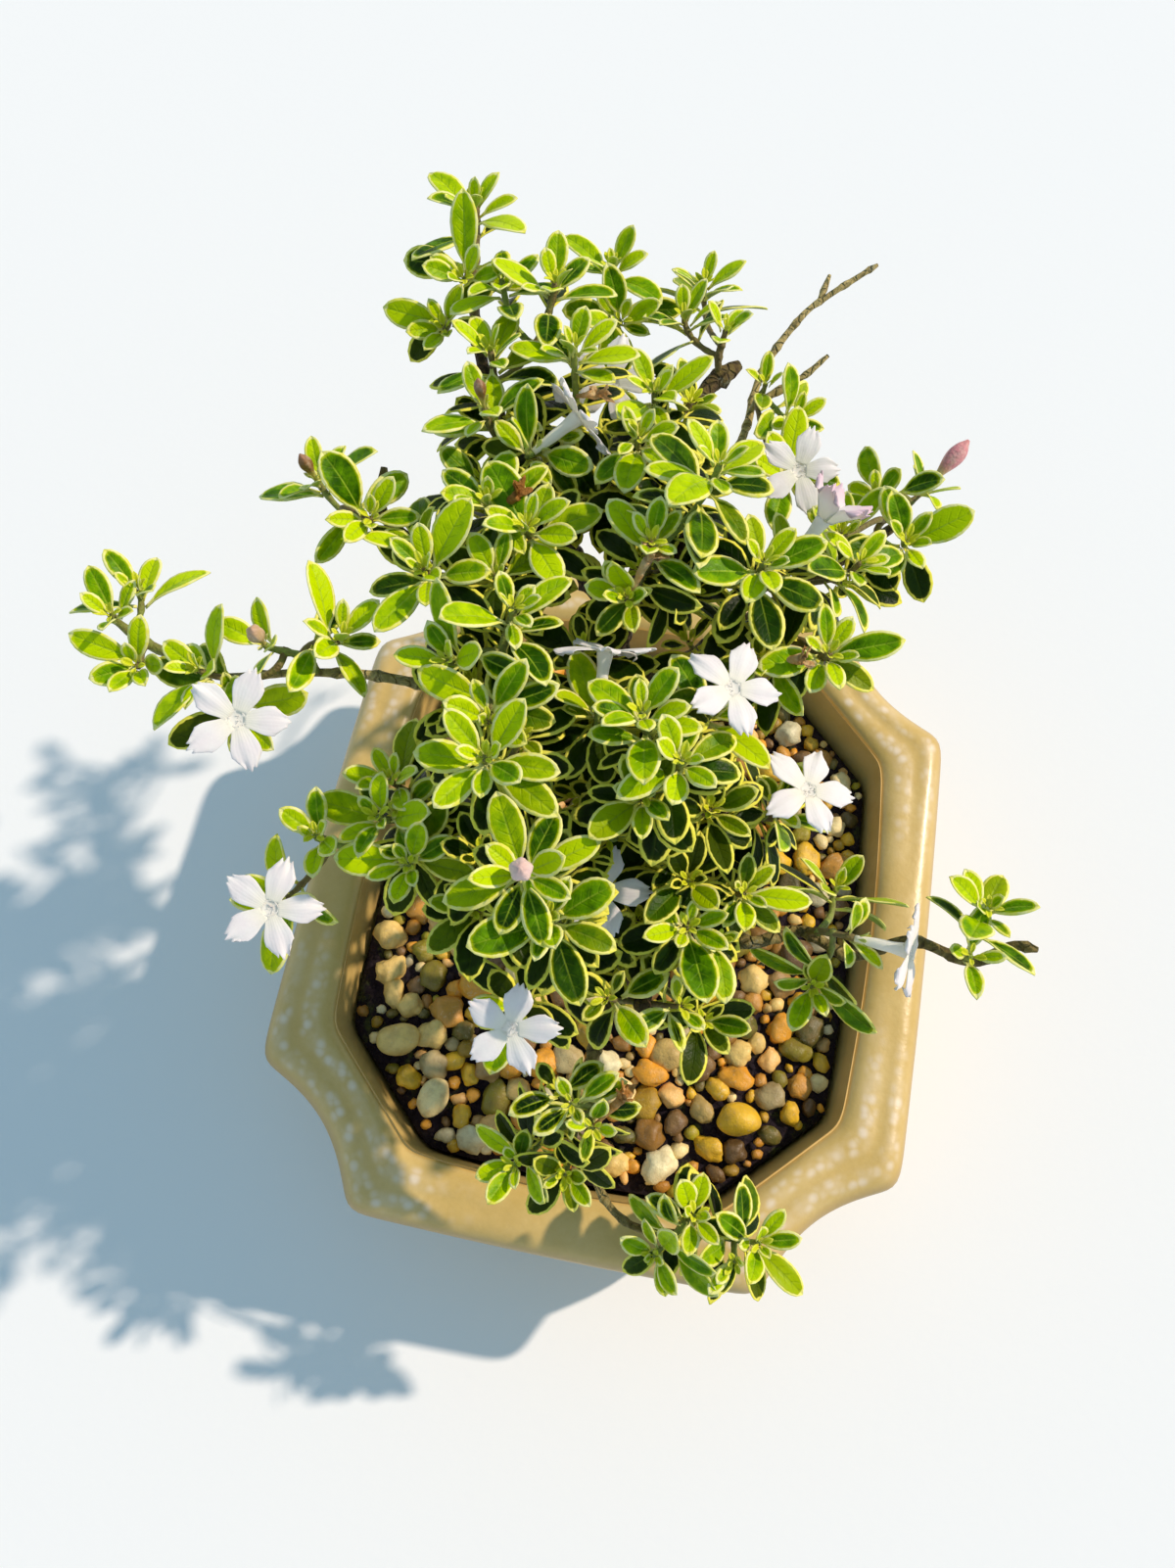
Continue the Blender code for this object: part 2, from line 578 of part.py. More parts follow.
class Crowd:
    """What already stands somewhere, so that the next leaf can keep clear of it."""

    def __init__(self):
        self.items = []

    def add(self, tree, centre, reach, label):
        self.items.append((tree, centre, reach, label))

    def hit(self, tree, centre, reach):
        for other, middle, size, label in self.items:
            if (middle - centre).length < size + reach and tree.overlap(other):
                return label
        return None


def limb_radii(name):
    _, first, last = LIMBS[name]
    return [first, last]


def plan_limbs(crowd):
    limbs = {}
    for name, (route, _, _) in LIMBS.items():
        path = Path(through(route))
        limbs[name] = path
        middle = path.at(path.length / 2)[0]
        crowd.add(round_tree(path, limb_radii(name)), middle, path.length / 2 + 3.0, name)
    return limbs


def tip_axis(tip, start, facing):
    """The way a shoot's end points: up and a little outwards, or as its flower faces."""
    if facing:
        return Vector(facing).normalized()
    outwards = tip - start
    return (outwards.normalized() * (1.0 - LIFT) + Vector((0.0, 0.0, LIFT))).normalized()


def facings():
    """The tips that end in a flower or a bud, and the way it faces."""
    found = {}
    for table in (FLOWERS, BUDS):
        for shoot, tip, facing, _ in table.values():
            found[shoot, tip] = facing
    return found


def plan_shoot(name, limbs, crowd):
    """The shoot's main stem, starting just clear of its limb, with its side stems as branches."""
    limb_name, share, tips = SHOOTS[name]
    limb = limbs[limb_name]
    facing = facings()
    first, last = limb_radii(limb_name)
    point, tangent, _, _ = limb.at(limb.length * share)
    target = Vector(tips[0])
    if share == 1.0:
        leave = tangent
        start = point + leave * 2 * GAP
        radius = min(TWIG_RADIUS, last)
    else:
        leave = square_to(target - point, tangent)
        start = point + leave * (first + (last - first) * share + 2 * GAP)
        radius = STEM_RADIUS
    arrive = tip_axis(target, start, facing.get((name, 0)))
    main = Stem(Path(bend(start, leave, target, arrive)), radius)
    while crowd.hit(round_tree(main.path, [radius + GAP, radius]), target, main.path.length + 2.0):
        start = start + leave * GAP
        main = Stem(Path(bend(start, leave, target, arrive)), radius)
    main.ornament = (name, 0) in facing
    for index, (tip, branch_share) in enumerate(zip(tips[1:], BRANCH_SHARES[len(tips) - 1]), start=1):
        target = Vector(tip)
        spot = main.path.length * branch_share
        centre, along, _, _ = main.path.at(spot)
        leave = square_to(target - centre, along)
        arrive = tip_axis(target, centre, facing.get((name, index)))
        route = bend(centre + leave * radius, leave, target, arrive)
        side = Stem(Path(route, along), STEM_RADIUS * SIDE_STEM_SHARE)
        side.ornament = (name, index) in facing
        main.branches.append((spot, leave, side))
    main.branches.sort(key=lambda branch: branch[0])
    return main


def stem_tree(stem):
    return round_tree(stem.path, [stem.radius, stem.radius * 0.8])


def plan_leaves(stem, label, draw, crowd):
    """Puts opposite pairs on the stem, each turned a quarter from the last, wherever there is room."""
    taken = [spot for spot, _, _ in stem.branches]
    for order, (below, (size, pitch)) in enumerate(zip(PAIR_BELOW_TIP, LEAF_PAIRS)):
        spot = stem.path.length - below
        if spot < FIRST_NODE or any(abs(spot - other) < NODE_SPACING for other in taken):
            continue
        point, tangent, u, v = stem.path.at(spot)
        upright = (tangent * 0.5 + Vector((0.0, 0.0, 0.5))).normalized()
        across = u if order % 2 else v
        pair = []
        for way in (1, -1):
            leaf = try_leaf(point, upright, across * way, size, pitch, draw, crowd)
            if leaf:
                crowd.add(leaf.slab(0.0), leaf.middle(), leaf.reach(), label)
                pair.append(leaf)
        if pair:
            stem.nodes.append((spot, pair))
    stem.nodes.sort(key=lambda node: node[0])


def try_leaf(point, upright, outwards, size, pitch, draw, crowd):
    """A leaf that touches nothing, or None. Later tries turn, tilt and shrink it more."""
    length = size * draw.uniform(*LEAF_SIZES)
    for attempt in range(LEAF_TRIES):
        spread = FIRST_SPREAD + SPREAD_STEP * attempt
        turn = Quaternion(upright, math.radians(draw.uniform(-spread, spread)))
        level = turn @ square_to(outwards, upright)
        tilt = math.radians(pitch + draw.uniform(-spread, spread))
        direction = level * math.cos(tilt) + upright * math.sin(tilt)
        normal = upright * math.cos(tilt) - level * math.sin(tilt)
        origin = point + outwards * STEM_RADIUS
        leaf = Leaf(origin, direction, normal, length * (1.0 - SHRINK_STEP * attempt))
        if not crowd.hit(leaf.slab(LEAF_CLEARANCE), leaf.middle(), leaf.reach()):
            return leaf
    return None


def plan_plant():
    """All shoots with their leaves, in a fixed order, from one seeded draw."""
    crowd = Crowd()
    limbs = plan_limbs(crowd)
    shoots = {name: plan_shoot(name, limbs, crowd) for name in SHOOTS}
    for name, main in shoots.items():
        for stem in (main, *(branch for _, _, branch in main.branches)):
            middle = stem.path.at(stem.path.length / 2)[0]
            crowd.add(stem_tree(stem), middle, stem.path.length / 2 + 1.0, name)
    for name, entry in BUDS.items():
        base, axis = ornament_place(entry, shoots)
        length = entry[-1]
        bud = Path([base, base + axis * length])
        crowd.add(round_tree(bud, BUD_RADII), bud.at(length / 2)[0], length / 2 + 1.0, name)
    for name, entry in FLOWERS.items():
        base, axis = ornament_place(entry, shoots)
        tube = Path([base, base + axis * TUBE_LENGTH])
        crowd.add(round_tree(tube, TUBE_RADII), tube.at(TUBE_LENGTH / 2)[0], TUBE_LENGTH / 2 + 1.0, name)
        mouth = tube.points[-1]
        rise = LOBE_LENGTH * math.sin(math.atan(entry[-1]))
        crown = Path([mouth - axis * THROAT_RING, mouth + axis * (rise + LOBE_THICKNESS)])
        reach = TUBE_RADII[-1] + LOBE_LENGTH
        crowd.add(round_tree(crown, (reach, reach), 10, 1.0), mouth, reach + 1.0, name)
        if entry[-1] == SPREAD_OPEN:
            above = Path([mouth, mouth + axis * HEADROOM])
            middle = above.at(HEADROOM / 2)[0]
            crowd.add(round_tree(above, (reach, HEADROOM_RADIUS), 10), middle, HEADROOM, name)
    draw = random.Random(SEED)
    for name, main in shoots.items():
        for stem in (main, *(branch for _, _, branch in main.branches)):
            plan_leaves(stem, name, draw, crowd)
    return shoots, limbs


def ornament_place(entry, shoots):
    """Where a flower or bud starts, just off its stem's end, and the way it faces."""
    shoot, tip, _, _ = entry
    main = shoots[shoot]
    stem = main if tip == 0 else nearest_branch(main, Vector(SHOOTS[shoot][2][tip]))
    end, axis, _, _ = stem.path.at(stem.path.length)
    return end + axis * GAP, axis


def nearest_branch(main, tip):
    branches = [branch for _, _, branch in main.branches]
    return min(branches, key=lambda stem: (stem.path.points[-1] - tip).length)


# ---------------------------------------------------------------- wood


def make_tube(name, path, radii, extra, material, collection):
    """A limb as a bevelled curve made into a closed mesh. Extra thickens and lengthens it all round."""
    count = max(3, int(path.length / LIMB_STEP) + 1)
    curve = bpy.data.curves.new(name, "CURVE")
    curve.dimensions = "3D"
    curve.bevel_depth = MM
    curve.bevel_resolution = 2 if radii[0] > THICK_LIMB else 1
    curve.use_fill_caps = True
    spline = curve.splines.new("POLY")
    spline.points.add(count - 1)
    for k, spline_point in enumerate(spline.points):
        share = k / (count - 1)
        point, tangent, _, _ = path.at(path.length * share)
        point = point + tangent * extra * (2 * share - 1) + CENTRE
        spline_point.co = (*(point * MM), 1.0)
        spline_point.radius = radii[0] + (radii[1] - radii[0]) * share + extra
    made = bpy.data.objects.new(name, curve)
    collection.objects.link(made)
    bpy.context.view_layer.update()
    mesh = bpy.data.meshes.new_from_object(made.evaluated_get(bpy.context.evaluated_depsgraph_get()))
    bpy.data.objects.remove(made, do_unlink=True)
    bpy.data.curves.remove(curve)
    bm = bmesh.new()
    bm.from_mesh(mesh)
    bmesh.ops.remove_doubles(bm, verts=bm.verts, dist=0.001 * MM)
    bmesh.ops.recalc_face_normals(bm, faces=bm.faces)
    bm.to_mesh(mesh)
    bm.free()
    mesh.name = name
    tube = bpy.data.objects.new(name, mesh)
    mesh.materials.append(material)
    collection.objects.link(tube)
    return tube


def build_wood(limbs, collection, cutters):
    """The trunk with every limb and surface root joined to it, and the sockets they need in the soil."""
    material = make_material("wood")
    wood = make_tube("trunk_and_limbs", limbs["trunk"], limb_radii("trunk"), 0.0, material, collection)
    sockets = []
    for name, path in limbs.items():
        if name != "trunk":
            add_boolean(wood, make_tube(name, path, limb_radii(name), 0.0, material, cutters), "UNION")
        if name == "trunk" or name.startswith("root"):
            sockets.append(make_tube(f"{name}_socket", path, limb_radii(name), GAP, material, cutters))
    for polygon in wood.data.polygons:
        polygon.use_smooth = True
    return wood, sockets


# ---------------------------------------------------------------- shoots, flowers and buds


def sign(value):
    return 1 if value > 0.0 else -1


def pull(bm, face, first, second, section):
    """Extrudes a four-sided face until its corners, told apart by two directions, reach a section's."""
    middle = face.calc_center_median()
    before = [vert.co.copy() for vert in face.verts]
    goals = [section[sign((co - middle).dot(first)), sign((co - middle).dot(second))] for co in before]
    made = bmesh.ops.extrude_discrete_faces(bm, faces=[face])["faces"][0]
    order = [min(range(4), key=lambda k: (before[k] - vert.co).length) for vert in made.verts]
    for vert, k in zip(made.verts, order):
        vert.co = goals[k]
    return made


def close_with_point(bm, face, point):
    bmesh.ops.poke(bm, faces=[face])["verts"][0].co = point


def grow_leaf(bm, face, leaf, tangent, outwards):
    """Pulls the leaf's blade out of one side of its stem."""
    first, second = outwards.cross(tangent), tangent
    for along, width in leaf.sections:
        face = pull(bm, face, first, second, leaf.section(along, width * leaf.width, LEAF_THICKNESS))
        first, second = leaf.direction.cross(leaf.normal), leaf.normal
    close_with_point(bm, face, leaf.origin + leaf.direction * leaf.length)


def square_section(stem, distance):
    point, _, u, v = stem.path.at(distance)
    half = stem.radius * STEM_FLAT * (1.0 - STEM_TAPER * distance / stem.path.length)
    return {(a, b): point + (u * a + v * b) * half for a in (-1, 1) for b in (-1, 1)}


def side_facing(faces, point, outwards):
    """The side that looks most nearly a given way, of those that nothing has grown from yet."""
    free = [face for face in faces if face.is_valid]
    return max(free, key=lambda face: (face.calc_center_median() - point).normalized().dot(outwards))


def grow_stem(bm, face, stem):
    """Pulls a stem out of a face along its path, then its leaves and branches out of its sides."""
    half = NODE_HEIGHT / 2
    joints = [*stem.nodes, *((spot, (leave, side)) for spot, leave, side in stem.branches)]
    busy = [spot for spot, _ in joints] + [stem.path.length]
    steps = [k * STEM_STEP for k in range(1, int(stem.path.length / STEM_STEP) + 1)]
    plain = [step for step in steps if all(abs(step - spot) > half + STEM_JOINT for spot in busy)]
    stops = [*joints, *((spot, None) for spot in (*plain, stem.path.length))]
    stops.sort(key=lambda stop: stop[0])
    grown = []
    _, _, u, v = stem.path.at(0.0)
    for distance, carried in stops:
        reaches = (distance,) if carried is None else (distance - half, distance + half)
        for reach in reaches:
            face = pull(bm, face, u, v, square_section(stem, reach))
            _, _, u, v = stem.path.at(reach)
        if carried is not None:
            sides = [next(other for other in edge.link_faces if other != face) for edge in face.edges]
            grown.append((distance, carried, sides))
    if not stem.ornament:
        close_with_point(bm, face, stem.path.points[-1] + stem.path.tangents[-1] * NODE_HEIGHT)
    for distance, carried, sides in grown:
        point, tangent, _, _ = stem.path.at(distance)
        if isinstance(carried, list):
            for leaf in carried:
                outwards = (leaf.origin - point).normalized()
                grow_leaf(bm, side_facing(sides, point, outwards), leaf, tangent, outwards)
        else:
            leave, branch = carried
            grow_stem(bm, side_facing(sides, point, leave), branch)


def build_shoot(name, main, material, collection):
    """The shoot's stems and leaves as one body, each pulled out of a side of what carries it."""
    corners = ((-1, -1), (1, -1), (1, 1), (-1, 1))
    rings = [[square_section(main, distance)[key] for key in corners] for distance in (0.0, NODE_HEIGHT)]
    bm = bmesh.new()
    loft(bm, rings)
    bm.faces.ensure_lookup_table()
    grow_stem(bm, bm.faces[-1], main)
    return finish_mesh(bm, name, material, collection)


def ring(place, radius, sides):
    point, _, u, v = place
    turns = [2 * math.pi * k / sides for k in range(sides)]
    return [point + (u * math.cos(turn) + v * math.sin(turn)) * radius for turn in turns]


def build_flower(name, shoots, material, collection):
    """A slender tube that widens to a throat, with five spreading lobes."""
    base, axis = ornament_place(FLOWERS[name], shoots)
    rise = FLOWERS[name][-1]
    path = Path([base, base + axis * TUBE_LENGTH])
    heights = (0.0, TUBE_LENGTH * 0.5, TUBE_LENGTH - THROAT_RING, TUBE_LENGTH)
    radii = (*TUBE_RADII, TUBE_RADII[-1])
    bm = bmesh.new()
    bands = loft(bm, [ring(path.at(height), radius, LOBES) for height, radius in zip(heights, radii)])
    for face in bands[-1]:
        middle = face.calc_center_median()
        out = square_to(middle - path.at(TUBE_LENGTH)[0], axis)
        direction = (out + axis * rise).normalized()
        side = out.cross(axis)
        normal = side.cross(direction)
        for along, width in LOBE_SECTIONS:
            centre = middle + direction * LOBE_LENGTH * along
            section = {
                (a, b): centre + side * (a * width * LOBE_WIDTH / 2) + normal * (b * LOBE_THICKNESS / 2)
                for a in (-1, 1)
                for b in (-1, 1)
            }
            face = pull(bm, face, side, axis, section)
    return finish_mesh(bm, name, material, collection)


def build_bud(name, shoots, material, collection):
    base, axis = ornament_place(BUDS[name], shoots)
    length = BUDS[name][-1]
    path = Path([base, base + axis * length])
    step = length / len(BUD_RADII)
    bm = bmesh.new()
    loft(bm, [ring(path.at(step * k), radius, BUD_SIDES) for k, radius in enumerate(BUD_RADII)])
    bm.faces.ensure_lookup_table()
    close_with_point(bm, bm.faces[-1], base + axis * length)
    return finish_mesh(bm, name, material, collection)


# ---------------------------------------------------------------- whole bonsai


def surface_of(obj):
    """The object's evaluated surface as a BVH tree, in millimetres from the pot's middle."""
    bpy.context.view_layer.update()
    mesh = obj.evaluated_get(bpy.context.evaluated_depsgraph_get()).to_mesh()
    corners = [vert.co / MM - CENTRE for vert in mesh.vertices]
    return BVHTree.FromPolygons(corners, [tuple(polygon.vertices) for polygon in mesh.polygons])


def main():
    clear_scene()
    bonsai = make_collection("serissa_bonsai")
    cutters = make_collection("cutters", hidden=True)
    shoots, limbs = plan_plant()
    build_pot(bonsai, cutters)
    screen_material = make_material("screen")
    recesses = [
        build_screen(f"drainage_screen_{word}", side * HOLE_SPACING / 2, screen_material, bonsai, cutters)
        for word, side in (("front", -1), ("back", 1))
    ]
    _, sockets = build_wood(limbs, bonsai, cutters)
    soil = build_soil(bonsai, sockets + recesses)
    soil_surface = surface_of(soil)
    stone_material = make_material("stone")
    for name in STONES:
        build_stone(name, stone_material, bonsai, soil_surface)
    leaf_material = make_material("leaf")
    for name, stem in shoots.items():
        build_shoot(name, stem, leaf_material, bonsai)
    petal_material = make_material("petal")
    for name in FLOWERS:
        build_flower(name, shoots, petal_material, bonsai)
    bud_material = make_material("bud")
    for name in BUDS:
        build_bud(name, shoots, bud_material, bonsai)


main()
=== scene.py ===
"""The looks of the serissa bonsai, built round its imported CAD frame.

The growth plan below repeats the one that shaped the CAD solids, so each detailed leaf, flower and
limb stands where its plain solid does. Lengths are in millimetres from the pot's middle at floor
level until a mesh is made. CENTRE then moves them to the frame's own origin.
"""

import math
import random

import bmesh
import bpy
from mathutils import Matrix, Quaternion, Vector, noise
from mathutils.bvhtree import BVHTree
from mathutils.kdtree import KDTree


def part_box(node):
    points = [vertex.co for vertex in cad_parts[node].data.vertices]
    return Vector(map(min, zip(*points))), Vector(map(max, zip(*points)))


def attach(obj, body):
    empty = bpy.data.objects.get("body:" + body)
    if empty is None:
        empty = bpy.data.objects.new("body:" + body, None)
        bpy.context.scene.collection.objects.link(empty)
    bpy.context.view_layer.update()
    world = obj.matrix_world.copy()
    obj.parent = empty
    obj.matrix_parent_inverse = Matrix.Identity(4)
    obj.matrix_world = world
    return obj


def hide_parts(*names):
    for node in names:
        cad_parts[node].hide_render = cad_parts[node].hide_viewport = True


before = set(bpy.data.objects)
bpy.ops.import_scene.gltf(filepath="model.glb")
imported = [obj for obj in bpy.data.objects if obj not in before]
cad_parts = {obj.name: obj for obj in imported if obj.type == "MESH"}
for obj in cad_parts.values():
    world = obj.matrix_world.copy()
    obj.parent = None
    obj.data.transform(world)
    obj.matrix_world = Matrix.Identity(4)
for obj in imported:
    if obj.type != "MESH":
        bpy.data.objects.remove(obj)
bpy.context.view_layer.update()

MM = 0.001
CENTRE = Vector((9.6, -19.1, 0.0))
GAP = 0.3

# Pot
POT_WIDTH = 120.0
POT_DEPTH = 135.0
POT_HEIGHT = 45.0
FOOT_HEIGHT = 6.0
FOOT_LENGTH = 14.0
FOOT_THICKNESS = 7.0
FOOT_SET_IN = 0.8
CORNER_CUT = 23.0
CORNER_HOLLOW = 4.0
FOOT_CORNER_CUT = 21.5
INNER_CORNER_CUT = 19.6
SIDE_BOW = 0.6
RIM_WIDTH = 12.0
LIP_DEPTH = 4.0
LIP_SET_BACK = 0.6
INNER_BOW = 1.6
INNER_TAPER = 3.4
FLOOR_TOP = 12.0
WALL_TAPER = 9.0
HOLE_RADIUS = 6.0
HOLE_SPACING = 52.0

# Growing medium
SOIL_EDGE = 35.0
SOIL_CROWN = 40.0
SOIL_FALL = 1.5
SOIL_BOW = 0.8

# Leaves, as (length, pitch above the shoot's cross plane in degrees) from the oldest pair up
LEAF_PAIRS = ((8.6, 6.0), (9.0, 20.0), (6.2, 42.0))
PAIR_BELOW_TIP = (4.6, 2.5, 0.9)
LEAF_WIDTH_SHARE = 0.5
LEAF_THICKNESS = 0.5
LEAF_SECTIONS = ((0.36, 0.86), (0.72, 0.82))
SMALL_LEAF = 7.2
SMALL_LEAF_SECTIONS = ((0.55, 0.95),)
LEAF_SIZES = (0.85, 1.12)
LEAF_CLEARANCE = 0.25
LEAF_TRIES = 16
FIRST_SPREAD = 8.0
SPREAD_STEP = 2.5
SHRINK_STEP = 0.02
FIRST_NODE = 1.2
NODE_SPACING = 1.7
STEM_RADIUS = 0.62
SIDE_STEM_SHARE = 0.9
TWIG_RADIUS = 0.95
LIFT = 0.75
BRANCH_SHARES = ((), (0.45,), (0.58, 0.28), (0.68, 0.45, 0.22))
SEED = 14

# Flowers
TUBE_LENGTH = 7.5
TUBE_RADII = (0.55, 0.8, 1.5)
LOBE_LENGTH = 5.6
LOBE_WIDTH = 4.2
LOBE_THICKNESS = 0.5
LOBES = 5
SPREAD_OPEN = 0.18
HALF_OPEN = 0.6
HEADROOM = 13.0
HEADROOM_RADIUS = 5.5
THROAT_RING = 0.7
BUD_RADII = (0.5, 0.65, 1.25, 1.45, 0.95)

# Woody limbs: route, first radius, last radius
LIMBS = {
    "trunk": ([(3, 3, 31), (3, 8, 44), (-1, 16, 60), (-5, 25, 77), (-9, 34, 92)], 4.6, 2.3),
    "apex": ([(-9, 34, 92), (-18, 38, 105), (-25, 42, 117), (-31, 50, 123), (-35, 60, 124)], 1.9, 0.9),
    "back": ([(-7, 31, 88), (-10, 46, 100), (-13, 62, 107), (-16, 73, 108)], 1.4, 0.8),
    "back_right": ([(-7, 31, 88), (-4, 44, 104), (-1, 56, 112), (1, 64, 114), (5, 69, 114)], 1.7, 1.4),
    "dry": ([(-4, 44, 104), (5, 60, 97), (8, 72, 94), (9, 84, 95), (14, 95, 98), (19, 100, 100),
             (26, 106, 102)], 1.0, 0.5),
    "dry_spur": ([(9, 78, 94.5), (16, 83, 97), (20, 87, 99)], 0.7, 0.5),
    "dry_fork": ([(17, 98, 99.4), (18, 104, 100)], 0.55, 0.5),
    "right_upper": ([(-5, 26, 79), (8, 31, 90), (22, 41, 99), (31, 49, 101), (36, 54, 102)], 1.5, 0.8),
    "right": ([(-3, 21, 69), (6, 22, 92), (13, 22, 110), (19, 20, 117)], 1.5, 0.8),
    "right_low": ([(1, 12, 52), (8, 0, 70), (14, -12, 88), (21, -19, 96), (29, -15.5, 95), (37, -17.5, 94),
                   (45, -14, 96), (53, -16.5, 99), (58, -13.5, 101), (61, -14, 103)], 1.5, 0.7),
    "front": ([(2, 9, 46), (3, -8, 66), (6, -22, 84), (8, -32, 98)], 1.8, 1.5),
    "cascade": ([(5.5, -21, 83), (2, -36, 82), (3, -46, 75), (6, -55, 67), (12, -60, 62), (20, -60, 60.5),
                 (28, -58, 60)], 1.2, 0.7),
    "centre": ([(-2, 18, 64), (-3, 4, 90), (2, -4, 106), (4, -6, 116)], 1.5, 0.9),
    "crown": ([(-7, 30, 86), (-4, 28, 104), (0, 25, 120), (2, 28, 127)], 1.4, 0.8),
    "left": ([(-4, 23, 74), (-16, 12, 98), (-26, 5, 112), (-36, 3, 118), (-48, 1, 118.5), (-58, -1, 117.5),
              (-68, 2, 115)], 1.6, 0.8),
    "left_upper": ([(-14, 36, 99), (-26, 28, 113), (-35, 25, 117), (-42, 28, 119), (-43, 34, 122)], 1.2, 0.8),
    "left_low": ([(0, 12, 52), (-11, -4, 82), (-19, -12, 99), (-28, -17, 105), (-36, -18, 105)], 1.5, 0.8),
    "left_inner": ([(-16, 12, 98), (-19, 4, 110), (-20, 0, 120)], 1.2, 0.8),
    "root_front": ([(3, 3, 37), (8, -6, 36.5), (12, -15, 33)], 2.8, 1.0),
    "root_left": ([(3, 4, 37), (-6, 0, 36), (-14, -3, 32.5)], 2.6, 1.0),
    "root_right": ([(3, 4, 37), (12, 8, 36.5), (20, 10, 33)], 2.6, 1.0),
    "root_back": ([(2, 6, 37), (0, 15, 37), (-4, 23, 33)], 2.6, 1.0),
}

# Leafy shoots: the limb they grow from, the share of it where they start, and the tips they reach
SHOOTS = {
    "apex_shoot": ("apex", 1.0, [(-38, 75, 132), (-37, 63, 130), (-39, 57, 126)]),
    "apex_inner_shoot": ("apex", 0.80, [(-23, 62, 133), (-31, 62, 132)]),
    "apex_low_shoot": ("apex", 0.62, [(-29, 41, 130), (-30, 50, 131)]),
    "apex_right_shoot": ("apex", 0.50, [(-18, 51, 133), (-21, 37, 127.5)]),
    "back_shoot": ("back", 1.0, [(-18, 81, 118), (-15, 73, 115), (-14.4, 62.4, 111.6)]),
    "back_right_shoot": ("back_right", 0.92, [(2, 69, 121), (-3, 84, 114), (-5, 74, 117)]),
    "back_hidden_shoot": ("dry", 0.50, [(10, 77, 101), (16, 73, 98), (16.2, 58.2, 102.5)]),
    "back_middle_shoot": ("back_right", 0.60, [(-6, 49, 129), (-1, 53, 123), (-7, 40, 130)]),
    "back_hollow_shoot": ("back_right", 0.42, [(-11, 42, 119), (-15, 42, 112), (-2, 39, 123)]),
    "right_inner_shoot": ("right", 0.88, [(13, 23, 131), (27, 32, 121), (17, 30, 121)]),
    "right_middle_shoot": ("right", 1.0, [(24, 15, 124), (15, 14, 121)]),
    "crown_shoot": ("crown", 0.86, [(-2, 22, 133), (5, 32, 138), (-4, 16, 128), (4, 22, 122)]),
    "right_upper_shoot": ("right_upper", 0.90, [(38, 57, 107), (30, 54, 106), (34, 40, 116), (25, 43, 111)]),
    "left_upper_shoot": ("left_upper", 0.85, [(-52, 30, 122), (-42, 24, 124)]),
    "left_back_shoot": ("left_upper", 0.42, [(-31, 14, 130), (-35, 22, 123), (-28, 33, 124)]),
    "left_crown_shoot": ("left_upper", 0.28, [(-19, 23, 130), (-25, 26, 130), (-22, 16, 128)]),
    "left_inner_shoot": ("left_inner", 1.0, [(-18, 10, 131), (-25, 2, 129), (-18, -5, 128)]),
    "left_front_shoot": ("left_inner", 0.75, [(-17, -11, 131), (-14, -8, 114)]),
    "left_tip_shoot": ("left", 1.0, [(-75, 4, 120), (-73, 9, 119), (-70, -2, 118)]),
    "left_middle_shoot": ("left", 0.74, [(-51, 2, 124), (-59, -3, 123), (-41, 5, 124)]),
    "left_flower_shoot": ("left", 0.84, [(-53, -7, 119)]),
    "left_low_tip_shoot": ("left_low", 1.0, [(-41, -19, 110), (-45, -28, 104)]),
    "left_low_shoot": ("left_low", 0.84, [(-33, -15, 111), (-27, -21, 111), (-33, -9, 110)]),
    "left_under_shoot": ("left_low", 0.62, [(-17.5, -18, 112), (-17, -25, 110)]),
    "centre_shoot": ("centre", 1.0, [(7, -6, 129), (1, -1, 130), (3, -10, 125)]),
    "centre_back_shoot": ("centre", 0.72, [(-9, 12, 119), (-5.2, 2.8, 121), (10, 5, 121)]),
    "centre_right_shoot": ("centre", 0.80, [(12, -8, 119), (23, -2, 107), (-1, -12, 111)]),
    "front_right_shoot": ("right_low", 0.40, [(11, -15, 108), (19, -15, 107), (12, -21, 106)]),
    "front_shoot": ("front", 0.86, [(-6, -27, 121), (-10, -23, 125), (-9.3, -36, 101)]),
    "front_low_shoot": ("front", 0.84, [(17, -31, 93)]),
    "front_hidden_shoot": ("front", 0.50, [(-1.2, -15.8, 97.6)]),
    "right_low_shoot": ("right_low", 0.66, [(36, -17, 102), (32, -23, 93), (34, -7, 92)]),
    "right_tip_shoot": ("right_low", 0.90, [(51.5, -17, 104), (53, -10, 105)]),
    "cascade_shoot": ("cascade", 0.34, [(4, -48, 82), (-7, -55, 73), (1, -55, 73)]),
    "cascade_tip_shoot": ("cascade", 0.88, [(22, -57, 69), (17, -64, 66), (33, -59, 66)]),
}

